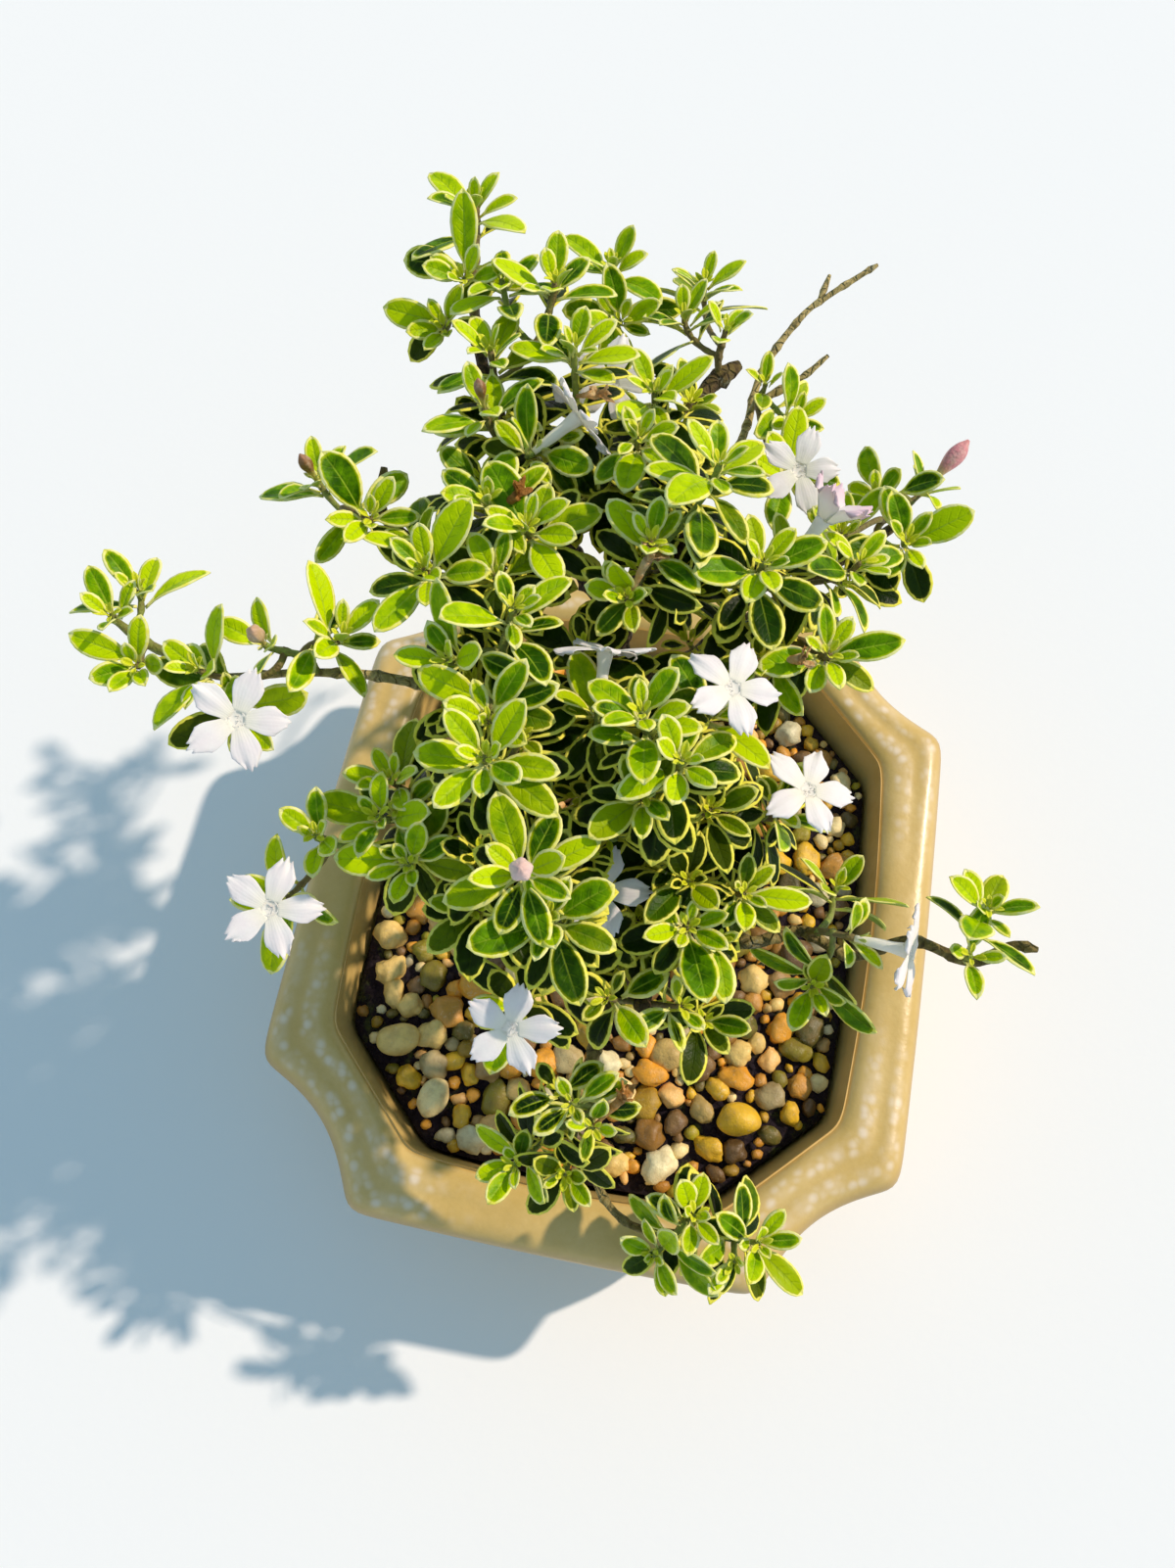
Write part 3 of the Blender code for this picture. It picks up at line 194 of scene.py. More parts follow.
# Flowers: the shoot and tip they stand on, the way they face, and how steeply their lobes rise
FLOWERS = {
    "flower_left": ("left_flower_shoot", 0, (0.30, -0.30, 0.90), SPREAD_OPEN),
    "flower_left_low": ("left_low_tip_shoot", 1, (0.20, -0.25, 0.95), SPREAD_OPEN),
    "flower_front": ("front_shoot", 2, (0.12, -0.42, 0.90), SPREAD_OPEN),
    "flower_front_hidden": ("front_hidden_shoot", 0, (0.05, -0.25, 0.96), SPREAD_OPEN),
    "flower_right": ("centre_right_shoot", 1, (0.15, 0.10, 0.98), SPREAD_OPEN),
    "flower_centre": ("centre_back_shoot", 2, (0.20, 0.05, 0.98), SPREAD_OPEN),
    "flower_centre_side": ("centre_back_shoot", 1, (-0.05, 0.90, 0.43), SPREAD_OPEN),
    "flower_apex_side": ("apex_right_shoot", 1, (0.67, 0.71, 0.21), HALF_OPEN),
    "flower_back": ("back_shoot", 2, (0.05, -0.40, 0.92), SPREAD_OPEN),
    "flower_back_right": ("back_hidden_shoot", 2, (0.12, -0.42, 0.90), SPREAD_OPEN),
    "flower_half_closed": ("right_inner_shoot", 2, (0.45, 0.60, 0.65), HALF_OPEN),
    "flower_right_low": ("right_low_shoot", 0, (0.90, -0.15, 0.35), HALF_OPEN),
}

# Buds: the shoot and tip they stand on, the way they point, and their length
BUDS = {
    "bud_left": ("left_middle_shoot", 0, (0.10, -0.10, 1.0), 5.2),
    "bud_front": ("front_shoot", 1, (0.10, -0.15, 1.0), 5.6),
    "bud_right_upper": ("right_upper_shoot", 0, (0.45, 0.70, 0.50), 9.0),
    "bud_left_upper": ("left_upper_shoot", 0, (-0.30, 0.10, 1.0), 4.6),
    "bud_apex": ("apex_low_shoot", 0, (-0.10, 0.20, 1.0), 4.6),
}

# The tips that end in a flower or a bud, and the way it faces
FACING = {(shoot, tip): facing for table in (FLOWERS, BUDS) for shoot, tip, facing, _ in table.values()}

# Larger stones lying on the soil: place, size across and tone
STONES = {
    "stone_1": ((-36, -36), 9.0, 0.10),
    "stone_2": ((-27, -45), 8.0, 0.20),
    "stone_3": ((30, -38), 8.5, 0.40),
}

# Finer shapes
PETIOLE_SHARE = 0.1
PETIOLE_WIDTH = 0.16
WIDEST = 0.57
BASE_CURVE = 0.76
END_CURVE = 0.62
TIP_WIDTH = 0.03
FULLER_LENGTH = 1.12
FULLER_WIDTH = 1.08
FULLER_PETAL = 0.94
LEAF_BLADE = 0.26
# How thick the margin is, as a share of the blade's thickness
THIN_MARGIN = 0.45
MIDRIB_GROOVE = 0.14
MIDRIB_WIDTH = 0.22
PETAL_BLADE = 0.14
MOUTH_RADIUS = 1.15
THROAT_HAIRS = 22
HAIR_PLACES = ((0.0, 0.07), (0.6, 0.05), (1.0, 0.02))
# The throat inside a flower's tube, as (share of its length, share of the mouth's radius)
THROAT = ((1.0, 0.92), (0.985, 0.7), (0.975, 0.35))
TUBE_SIDES = 20
SEPALS = 5
SEPAL_LENGTH = 1.7
BUD_SEPAL_LENGTH = 1.5
STEM_STEP = 0.7
# The swelling of a young stem at each pair of leaves: how far it reaches along it, and how high
NODE_REACH = 0.55
NODE_SWELL = 0.28
# Which of a piece's materials a face shows
LEAF_KIND = 0
STEM_KIND = 1
CALYX_KIND = 1
TURN = 2 * math.pi

# Further leaves, as (distance below the tip, length, pitch in degrees, youth)
EXTRA_PAIRS = (
    (0.35, 4.4, 52.0, 0.8), (1.7, 6.0, 34.0, 0.45), (3.6, 7.4, 12.0, 0.1), (6.6, 7.8, 4.0, -0.2),
    (8.2, 8.0, 2.0, -0.3), (9.8, 8.0, -4.0, -0.5), (12.0, 7.6, -6.0, -0.6), (14.2, 7.4, -6.0, -0.6),
    (16.6, 7.2, -8.0, -0.7), (19.0, 7.0, -8.0, -0.7), (22.0, 7.0, -8.0, -0.7),
)
SPUR_PAIRS = ((3.0, 7.6, 2.0, -0.5), (1.6, 7.2, 20.0, -0.2), (0.5, 4.6, 42.0, 0.3))
# Shoots that stand free and bear only the first few of the further pairs
OPEN_PAIRS = 2
OPEN_SHOOTS = {
    "apex_shoot", "back_shoot", "back_right_shoot", "back_hidden_shoot", "right_upper_shoot",
    "left_upper_shoot", "left_tip_shoot", "left_middle_shoot", "left_flower_shoot", "left_low_tip_shoot",
    "right_tip_shoot", "right_low_shoot", "front_low_shoot", "apex_inner_shoot",
}
# How wide each bud is and its tone, from 0 for deep pink over pale pink and tan to 1 for brown
BUD_LOOKS = {
    "bud_left": (2.3, 0.66), "bud_front": (2.9, 0.33), "bud_right_upper": (2.8, 0.0),
    "bud_left_upper": (1.9, 1.0), "bud_apex": (1.7, 1.0),
}
# How far a flower's lobes are folded forwards, where that differs from its solid
LOBE_FOLD = {"flower_half_closed": 1.7, "flower_apex_side": 0.25, "flower_right_low": 0.15}
# Repeats the noise vectors that crumple the withered flowers
NOISE_SEED = 1
# How many shrunken lobes a withered flower has
SHREDS = 6
# Withered flowers: a point close to the stem they hang on, and their length
WITHERED = (((2, 13, 126), 6.5), ((-17, 54, 124), 7.0), ((-27, 24, 126), 5.0), ((10, 16, 123), 6.0),
            ((4, -52, 79), 7.0), ((-22, -14, 111), 5.0))
# How far two of the further leaves may run into each other
LEAF_OVERLAP = 0.1
COVER_RADIUS = 7.5
COVER_FULL = 6.5
# Leaves that are shorter or covered more than this have fewer faces
SHORT_LEAF = 5.5
COARSE_COVER = 0.75
# How pale and smooth each limb's bark is
BARK_YOUTH = {"dry": 1.0, "dry_spur": 1.0, "dry_fork": 1.0, "left": 0.95, "right_low": 0.7, "cascade": 0.8,
              "back": 0.5, "back_right": 0.45, "right_upper": 0.5, "front": 0.35, "left_upper": 0.5}
# How much thinner a limb is drawn than in its solid
SLIMMER = {"left": 0.66, "cascade": 0.85}
# Limbs thicker than this have more points round them
THICK_LIMB = 2.2
BARK_STEP = 0.8
# How quickly the bark's lumps change along a limb. Round it they change quicker.
BARK_STRETCH = 0.28
# How much wider the trunk is at its foot, and how soon that fades
TRUNK_FLARE = 0.35
FLARE_LENGTH = 9.0
# The swollen rings along each limb: their spacing, reach and height, and the radius between them
KNOT_STEP = 5.5
KNOT_REACH = 0.7
KNOT_SWELL = 0.34
KNOT_WAIST = 0.92
# Limbs that carry short spurs, and the stretch of each that does, as shares of its length
SPUR_LIMBS = {
    "apex": (0.3, 0.7), "back": (0.4, 0.8), "back_right": (0.4, 0.7), "right_upper": (0.5, 0.9),
    "right": (0.5, 1.0), "front": (0.6, 1.0), "centre": (0.5, 1.0), "crown": (0.5, 0.9),
    "left": (0.35, 0.6), "left_upper": (0.2, 0.6), "left_low": (0.55, 0.9), "left_inner": (0.3, 1.0),
    "right_low": (0.3, 0.45),
}
SPUR_STEP = 4.5
SPUR_LENGTHS = (3.2, 6.5)
SPUR_TOP = 126.0
# Where the front and the back region of the inner spurs end
FRONT_REGION = -8.0
BACK_REGION = 30.0

# Finer pot, soil and gravel
CORNER_POINTS = 30
SIDE_POINTS = 44
OUTLINE_EASING = 2.2
EASING_REACH = 5
# The groove in the rim at each corner: its depth, and where it lies and how wide it is across the rim
RIM_GROOVE = 0.5
GROOVE_INSET = 5.6
GROOVE_WIDTH = 1.5
FOOT_STEPS = 16
# How far a foot reaches up into the pot's underside
FOOT_OVERLAP = 3.0
SHARP_ANGLE = 42.0
SOIL_RINGS = 40
# Grains, as (how many are wanted, the smallest and the largest size)
PEBBLES = ((430, (2.8, 6.6)), (520, (1.7, 2.8)))
CRUMBS = (700, (0.9, 2.2))
PEBBLE_ROUGHNESS = 0.34
CRUMB_ROUGHNESS = 0.5
# How often a place is sought for each grain
GRAIN_TRIES = 14
# Centre distance between neighbouring grains, as a share of their mean size
PEBBLE_CROWDING = 0.74
CRUMB_CROWDING = 0.55
# Pebbles larger than this have the finest mesh
LARGE_GRAIN = 4.2
# Left of this line most pebbles are left out
BARE_STRIP = -43.0
BARE_SHARE = 0.75
# Ground kept free of gravel: the trunk's foot and each bend of a root
TRUNK_FOOT = (3.0, 3.0, 13.0)
ROOT_BEND = 4.0

# Camera and light
CAMERA_PLACE = Vector((5.9, -62.0, 265.7))
CAMERA_PITCH = 20.7
CAMERA_YAW = 11.03
CAMERA_LENS = 26.98
SUN_WAY = Vector((-1.02, -0.55, -1.0))
SUN_SOFTNESS = 1.5
SUN_STRENGTH = 3.5
SUN_COLOUR = (1.0, 0.845, 0.70)
SKY_COLOUR = (0.29, 0.44, 0.56)
FLOOR_SIZE = 3.0
FLOOR_COLOUR = 0.9
BACKDROP = 0.94


def quarter_sizes(quarter, inset):
    """Half the pot's size along and across a quarter turn, so that four turns of one corner go round it."""
    sizes = (POT_WIDTH / 2 - inset, POT_DEPTH / 2 - inset)
    return sizes[::-1] if quarter % 2 else sizes


def inner_wall_inset(height):
    """How far the inner wall stands in from the rim's outer edge at a height below the rim."""
    share = (height - FLOOR_TOP) / (POT_HEIGHT - LIP_DEPTH - FLOOR_TOP)
    return RIM_WIDTH + INNER_TAPER + (LIP_SET_BACK - INNER_TAPER) * share


# ---------------------------------------------------------------- growth plan


def lerp(a, b, share):
    return a + (b - a) * share


def smooth_step(low, high, value):
    share = min(max((value - low) / (high - low), 0.0), 1.0)
    return share * share * (3.0 - 2.0 * share)


def around(u, v, angle):
    """The direction at an angle in the plane of two directions."""
    return u * math.cos(angle) + v * math.sin(angle)


def round_ring(place, radius, sides):
    """Points round a place on a path."""
    point, _, u, v = place
    return [point + around(u, v, TURN * k / sides) * radius for k in range(sides)]


def upwards(direction, lift):
    """A direction turned towards straight up."""
    return (direction + Vector((0.0, 0.0, lift))).normalized()


def tilted(level, upright, tilt):
    """The direction and the normal of a leaf that rises by an angle from level."""
    return around(level, upright, tilt), upright * math.cos(tilt) - level * math.sin(tilt)


def square_to(direction, along):
    """The part of a direction that is square to another, as a unit vector."""
    left = direction - along * direction.dot(along)
    return left.normalized() if left.length > 1e-6 else along.orthogonal().normalized()


class Path:
    """A smooth route with a frame that doesn't twist along it."""

    def __init__(self, points, first_side=None):
        self.points = points
        self.distance = [0.0]
        for a, b in zip(points, points[1:]):
            self.distance.append(self.distance[-1] + (b - a).length)
        self.length = self.distance[-1]
        self.tangents = []
        for i in range(len(points)):
            before, after = points[max(i - 1, 0)], points[min(i + 1, len(points) - 1)]
            self.tangents.append((after - before).normalized())
        side = first_side or self.tangents[0].orthogonal()
        self.sides = []
        for tangent in self.tangents:
            side = square_to(side, tangent)
            self.sides.append(side)

    def at(self, distance):
        """Point, tangent and the two directions square to it, at a distance along the route."""
        distance = min(max(distance, 0.0), self.length)
        i = max(k for k in range(len(self.points) - 1) if self.distance[k] <= distance)
        share = (distance - self.distance[i]) / (self.distance[i + 1] - self.distance[i])
        tangent = self.tangents[i].lerp(self.tangents[i + 1], share).normalized()
        side = square_to(self.sides[i].lerp(self.sides[i + 1], share), tangent)
        return self.points[i].lerp(self.points[i + 1], share), tangent, side, tangent.cross(side)


def catmull_rom(a, b, c, d, t):
    """The value at a share of the way from b to c, on a curve that passes through all four."""
    return 0.5 * (2 * b + (c - a) * t + (2 * a - 5 * b + 4 * c - d) * t**2 + (3 * b - a - 3 * c + d) * t**3)


def through(points, steps=6):
    """A Catmull-Rom curve through a few points."""
    given = [Vector(point) for point in points]
    padded = [2 * given[0] - given[1], *given, 2 * given[-1] - given[-2]]
    curve = [given[0]]
    for window in zip(padded, padded[1:], padded[2:], padded[3:]):
        curve += [catmull_rom(*window, step / steps) for step in range(1, steps + 1)]
    return curve


def bend(start, leave, end, arrive, steps=16):
    """A cubic curve that leaves and arrives in the given directions."""
    reach = (end - start).length * 0.4
    b = start + leave * reach
    c = end - arrive * reach
    curve = []
    for step in range(steps + 1):
        t = step / steps
        s = 1.0 - t
        curve.append(start * s**3 + b * 3 * s * s * t + c * 3 * s * t * t + end * t**3)
    return curve


class Stem:
    """A young stem. Its nodes carry leaf pairs, and its branches start at nodes of their own."""

    def __init__(self, path, radius):
        self.path = path
        self.radius = radius
        self.radii = (radius, radius * 0.8)
        self.nodes = []
        self.branches = []
        self.ornament = False


class Leaf:
    """One leaf: where its stalk leaves the stem's axis, which way it points, and its size."""

    def __init__(self, origin, direction, normal, length):
        self.origin = origin
        self.direction = direction
        self.normal = normal
        self.length = length
        self.width = length * LEAF_WIDTH_SHARE
        self.sections = SMALL_LEAF_SECTIONS if length < SMALL_LEAF else LEAF_SECTIONS

    def section(self, along, width, thickness):
        """Four corners of the blade at a share of its length, keyed by side and face."""
        side = self.direction.cross(self.normal)
        centre = self.origin + self.direction * self.length * along
        return {
            (a, b): centre + side * (a * width / 2) + self.normal * (b * thickness / 2)
            for a in (-1, 1)
            for b in (-1, 1)
        }

    def middle(self):
        return self.origin + self.direction * self.length / 2

    def reach(self):
        return self.length * 0.6

    def slab(self, margin):
        """The blade as a BVH tree, thicker and wider by a margin all round."""
        thickness = LEAF_THICKNESS + 2 * margin
        shape = [(0.3, 0.6 * self.width), *((s, w * self.width) for s, w in self.sections), (1.0, 0.1)]
        corners = []
        for along, width in shape:
            part = self.section(along, width + 2 * margin, thickness)
            corners.extend(part[key] for key in ((-1, -1), (1, -1), (1, 1), (-1, 1)))
        return tube_tree(corners, 4)


def tube_tree(corners, sides):
    """A BVH tree of a closed tube given by its rings' corners in order."""
    rings = len(corners) // sides
    faces = [tuple(range(sides)), tuple(range((rings - 1) * sides, rings * sides))]
    for ring in range(rings - 1):
        for i in range(sides):
            j = (i + 1) % sides
            low, high = ring * sides, (ring + 1) * sides
            faces.append((low + i, low + j, high + j, high + i))
    return BVHTree.FromPolygons(corners, faces)


def round_tree(path, radii, sides=6, step=2.0):
    """A BVH tree of a round stem whose radius follows radii over its length."""
    count = max(2, int(path.length / step) + 1)
    corners = []
    for k in range(count):
        share = k / (count - 1)
        place = share * (len(radii) - 1)
        i = min(int(place), len(radii) - 2)
        corners += round_ring(path.at(path.length * share), lerp(radii[i], radii[i + 1], place - i), sides)
    return tube_tree(corners, sides)


class Crowd:
    """What already stands somewhere, so that the next leaf can keep clear of it."""

    def __init__(self):
        self.items = []

    def add(self, tree, centre, reach, label):
        self.items.append((tree, centre, reach, label))

    def add_path(self, path, radii, slack, label):
        self.add(round_tree(path, radii), path.at(path.length / 2)[0], path.length / 2 + slack, label)

    def add_leaf(self, leaf, margin, label):
        self.add(leaf.slab(margin), leaf.middle(), leaf.reach(), label)

    def hit(self, tree, centre, reach):
        """The label of something that a tree runs into, or None."""
        for other, middle, size, label in self.items:
            if (middle - centre).length < size + reach and tree.overlap(other):
                return label
        return None


def plan_limbs(crowd):
    """The path of each limb and root."""
    limbs = {}
    for name, (route, *radii) in LIMBS.items():
        limbs[name] = Path(through(route))
        crowd.add_path(limbs[name], radii, 3.0, name)
    return limbs


def tip_axis(tip, start, facing):
    """The way a shoot's end points: up and a little outwards, or as its flower faces."""
    if facing:
        return Vector(facing).normalized()
    return upwards((tip - start).normalized() * (1.0 - LIFT), LIFT)


def plan_shoot(name, limbs, crowd):
    """The shoot's main stem, starting just clear of its limb, with its side stems as branches."""
    limb_name, share, tips = SHOOTS[name]
    limb = limbs[limb_name]
    _, first, last = LIMBS[limb_name]
    point, tangent, _, _ = limb.at(limb.length * share)
    target = Vector(tips[0])
    if share == 1.0:
        leave = tangent
        start = point + leave * 2 * GAP
        radius = min(TWIG_RADIUS, last)
    else:
        leave = square_to(target - point, tangent)
        start = point + leave * (first + (last - first) * share + 2 * GAP)
        radius = STEM_RADIUS
    arrive = tip_axis(target, start, FACING.get((name, 0)))
    main = Stem(Path(bend(start, leave, target, arrive)), radius)
    while crowd.hit(round_tree(main.path, [radius + GAP, radius]), target, main.path.length + 2.0):
        start = start + leave * GAP
        main = Stem(Path(bend(start, leave, target, arrive)), radius)
    main.ornament = (name, 0) in FACING
    for index, (tip, branch_share) in enumerate(zip(tips[1:], BRANCH_SHARES[len(tips) - 1]), start=1):
        target = Vector(tip)
        spot = main.path.length * branch_share
        centre, along, _, _ = main.path.at(spot)
        leave = square_to(target - centre, along)
        arrive = tip_axis(target, centre, FACING.get((name, index)))
        route = bend(centre + leave * radius, leave, target, arrive)
        side = Stem(Path(route, along), STEM_RADIUS * SIDE_STEM_SHARE)
        side.ornament = (name, index) in FACING
        main.branches.append((spot, leave, side))
    main.branches.sort(key=lambda branch: branch[0])
    return main


def plan_leaves(stem, label, draw, crowd):
    """Puts opposite pairs on the stem, each turned a quarter from the last, wherever there is room."""
    taken = [spot for spot, _, _ in stem.branches]
    for order, (below, (size, pitch)) in enumerate(zip(PAIR_BELOW_TIP, LEAF_PAIRS)):
        spot = stem.path.length - below
        if spot < FIRST_NODE or any(abs(spot - other) < NODE_SPACING for other in taken):
            continue
        point, tangent, u, v = stem.path.at(spot)
        upright = upwards(tangent * 0.5, 0.5)
        across = u if order % 2 else v
        pair = []
        for way in (1, -1):
            leaf = try_leaf(point, upright, across * way, size, pitch, draw, crowd)
            if leaf:
                crowd.add_leaf(leaf, 0.0, label)
                pair.append(leaf)
        if pair:
            stem.nodes.append((spot, pair))
    stem.nodes.sort(key=lambda node: node[0])


def try_leaf(point, upright, outwards, size, pitch, draw, crowd):
    """A leaf that touches nothing, or None. Later tries turn, tilt and shrink it more."""
    length = size * draw.uniform(*LEAF_SIZES)
    for attempt in range(LEAF_TRIES):
        spread = FIRST_SPREAD + SPREAD_STEP * attempt
        turn = Quaternion(upright, math.radians(draw.uniform(-spread, spread)))
        level = turn @ square_to(outwards, upright)
        tilt = math.radians(pitch + draw.uniform(-spread, spread))
        shrunk = length * (1.0 - SHRINK_STEP * attempt)
        leaf = Leaf(point + outwards * STEM_RADIUS, *tilted(level, upright, tilt), shrunk)
        if not crowd.hit(leaf.slab(LEAF_CLEARANCE), leaf.middle(), leaf.reach()):
            return leaf
    return None


def plan_plant():
    """All shoots with their leaves, in a fixed order, from one seeded draw."""
    crowd = Crowd()
    limbs = plan_limbs(crowd)
    shoots = {name: plan_shoot(name, limbs, crowd) for name in SHOOTS}
    for name, main in shoots.items():
        for stem in stems_of(main):
            crowd.add_path(stem.path, stem.radii, 1.0, name)
    for name, entry in BUDS.items():
        base, axis = ornament_place(entry, shoots)
        crowd.add_path(Path([base, base + axis * entry[-1]]), BUD_RADII, 1.0, name)
    for name, entry in FLOWERS.items():
        keep_room(name, entry[-1], *ornament_place(entry, shoots), crowd)
    draw = random.Random(SEED)
    for name, main in shoots.items():
        for stem in stems_of(main):
            plan_leaves(stem, name, draw, crowd)
    return shoots, limbs, crowd


def keep_room(name, rise, base, axis, crowd):
    """Keeps leaves away from a flower and, where it lies open, out of the view onto it."""
    mouth = base + axis * TUBE_LENGTH
    crowd.add_path(Path([base, mouth]), TUBE_RADII, 1.0, name)
    height = LOBE_LENGTH * math.sin(math.atan(rise)) + LOBE_THICKNESS
    crown = Path([mouth - axis * THROAT_RING, mouth + axis * height])
    reach = TUBE_RADII[-1] + LOBE_LENGTH
    crowd.add(round_tree(crown, (reach, reach), 10, 1.0), mouth, reach + 1.0, name)
    if rise == SPREAD_OPEN:
        above = Path([mouth, mouth + axis * HEADROOM])
        middle = above.at(HEADROOM / 2)[0]
        crowd.add(round_tree(above, (reach, HEADROOM_RADIUS), 10), middle, HEADROOM, name)


def stems_of(main):
    """A shoot's main stem and its side stems."""
    return (main, *(branch for _, _, branch in main.branches))


def ornament_place(entry, shoots):
    """Where a flower or bud starts, just off its stem's end, and the way it faces."""
    shoot, tip, _, _ = entry
    main = shoots[shoot]
    target = Vector(SHOOTS[shoot][2][tip])
    stem = min(stems_of(main), key=lambda stem: (stem.path.points[-1] - target).length)
    end, axis, _, _ = stem.path.at(stem.path.length)
    return end + axis * GAP, axis


# ---------------------------------------------------------------- mesh writing


class Piece:
    """Collects points, faces and named values per point, then becomes one object of the bonsai."""

    def __init__(self):
        self.points = []
        self.faces = []
        self.kinds = []
        self.values = {}

    def add(self, point, **values):
        index = len(self.points)
        self.points.append(point)
        for name, value in values.items():
            self.values.setdefault(name, {})[index] = value
        return index

    def face(self, corners, kind=0):
        self.faces.append(corners)
        self.kinds.append(kind)

    def bridge(self, rows, kind=0, closed=False):
        """Quads between rows of equal length. A closed row joins its last point to its first."""
        for lower, upper in zip(rows, rows[1:]):
            count = len(lower)
            for i in range(count if closed else count - 1):
                j = (i + 1) % count
                self.face((lower[i], lower[j], upper[j], upper[i]), kind)

    def fan(self, ring, middle, turned, kind=0):
        """Triangles between a closed ring and the point in its middle."""
        for a, b in zip(ring, [*ring[1:], ring[0]]):
            self.face((b, a, middle) if turned else (a, b, middle), kind)

    def build(self, name, materials):
        """The piece as an object of the scene."""
        mesh = bpy.data.meshes.new(name)
        mesh.from_pydata([(point + CENTRE) * MM for point in self.points], [], self.faces)
        for value_name, values in self.values.items():
            column = mesh.attributes.new(value_name, "FLOAT", "POINT")
            column.data.foreach_set("value", [values.get(k, 0.0) for k in range(len(self.points))])
        for material in materials:
            mesh.materials.append(material)
        mesh.polygons.foreach_set("material_index", self.kinds)
        mesh.polygons.foreach_set("use_smooth", [True] * len(self.faces))
        mesh.update()
        return new_object(name, mesh)

    def make(self, name, materials, slot, *replaced):
        """Builds the piece and hands it over."""
        hand_over(self.build(name, materials), slot, *replaced)


def new_object(name, data):
    """An object in the scene that shows a mesh, lamp or camera."""
    made = bpy.data.objects.new(name, data)
    bpy.context.scene.collection.objects.link(made)
    return made


def mesh_of(bm, name):
    """A mesh with a bmesh's shape, which this frees."""
    mesh = bpy.data.meshes.new(name)
    bm.to_mesh(mesh)
    bm.free()
    return mesh


def applied(made):
    """A new mesh with the object's modifiers applied."""
    bpy.context.view_layer.update()
    return bpy.data.meshes.new_from_object(made.evaluated_get(bpy.context.evaluated_depsgraph_get()))


def hand_over(made, slot, *replaced):
    """Makes a finished object ride with the bonsai and stand for the CAD nodes it replaces."""
    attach(made, "root")
    if replaced:
        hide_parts(*replaced)


def rings_at(path, sides, places):
    """Round rings on a path, each given as the share of its length and the radius."""
    return [round_ring(path.at(path.length * share), radius, sides) for share, radius in places]


def tube(piece, rings, kind=0, **values):
    """Closed rings of points joined into a tube, each end closed by a fan round its middle."""
    made = []
    for k, ring in enumerate(rings):
        made.append([piece.add(point, length_share=k / (len(rings) - 1), **values) for point in ring])
    piece.bridge(made, kind, closed=True)
    for row, ring, turned in ((made[0], rings[0], True), (made[-1], rings[-1], False)):
        middle = piece.add(sum(ring, Vector()) / len(ring), length_share=float(not turned), **values)
        piece.fan(row, middle, turned, kind)


# ---------------------------------------------------------------- leaves and stems


def leaf_outline(share):
    """Half the blade's width, as a share of its widest, with a tapered base and a round end."""
    if share < PETIOLE_SHARE:
        return PETIOLE_WIDTH
    u = (share - PETIOLE_SHARE) / (1.0 - PETIOLE_SHARE)
    if u < WIDEST:
        full = math.sin(math.pi / 2 * u / WIDEST) ** BASE_CURVE
    else:
        full = (1.0 - ((u - WIDEST) / (1.0 - WIDEST)) ** 2.0) ** END_CURVE
    return max(PETIOLE_WIDTH * (1.0 - u), full, TIP_WIDTH)


def close_sheet(piece, tops, unders, kind=0):
    """Faces over, under and round the edge of a thin sheet, given as rows of points one after another."""
    piece.bridge(tops, kind)
    piece.bridge([row[::-1] for row in unders], kind)
    for near, far, end in ((unders, tops, 0), (tops, unders, -1)):
        for a, b in zip(range(len(tops)), range(1, len(tops))):
            piece.face((near[a][end], far[a][end], far[b][end], near[b][end]), kind)
    for near, far, end in ((unders, tops, 0), (tops, unders, -1)):
        for a, b in zip(range(len(tops[0])), range(1, len(tops[0]))):
            piece.face((near[end][a], near[end][b], far[end][b], far[end][a]), kind)


class Blade:
    """The folds and waves of one leaf, drawn at random."""

    def __init__(self, leaf, draw, youth):
        self.leaf = leaf
        self.side = leaf.direction.cross(leaf.normal)
        self.length = leaf.length * FULLER_LENGTH
        self.half_width = leaf.width / 2 * FULLER_WIDTH * draw.uniform(0.86, 1.16)
        self.fold = draw.uniform(0.10, 0.34)
        self.droop = draw.uniform(0.02, 0.16) - 0.06 * youth
        self.bow = draw.uniform(0.02, 0.09)
        self.twist = draw.uniform(-0.16, 0.16)
        self.sway = draw.uniform(-0.05, 0.05)
        self.wave_phase = draw.uniform(0.0, 6.28)
        self.wave = draw.uniform(0.02, 0.07)
        self.cup = draw.uniform(0.0, 0.22)

    def midrib(self, share):
        """A point of the arched midrib at a share of the blade's length."""
        arch = self.bow * math.sin(math.pi * share) - self.droop * share ** 2.2
        point = self.leaf.origin + self.leaf.direction * (self.length * share)
        point += self.leaf.normal * self.length * arch
        return point + self.side * self.length * self.sway * math.sin(math.pi * share * 0.5)

    def point(self, centre, share, s, reach):
        """A point beside the midrib, at a share of the way to the margin, which is -1 or 1."""
        across = s * reach
        margin_phase = 3.0 if s > 0 else 0.0
        lift = self.fold * abs(across) * math.cos(self.twist) + self.twist * across * share
        lift -= self.cup * self.half_width * (abs(across) / self.half_width) ** 3
        lift += self.wave * reach * abs(s) ** 3 * math.sin(self.wave_phase + 9.0 * share + margin_phase)
        groove = -MIDRIB_GROOVE * math.exp(-((across / MIDRIB_WIDTH) ** 2)) * (1.0 - share)
        narrowed = 1.0 - 0.35 * self.fold * abs(s)
        return centre + self.side * across * narrowed + self.leaf.normal * (lift + groove)


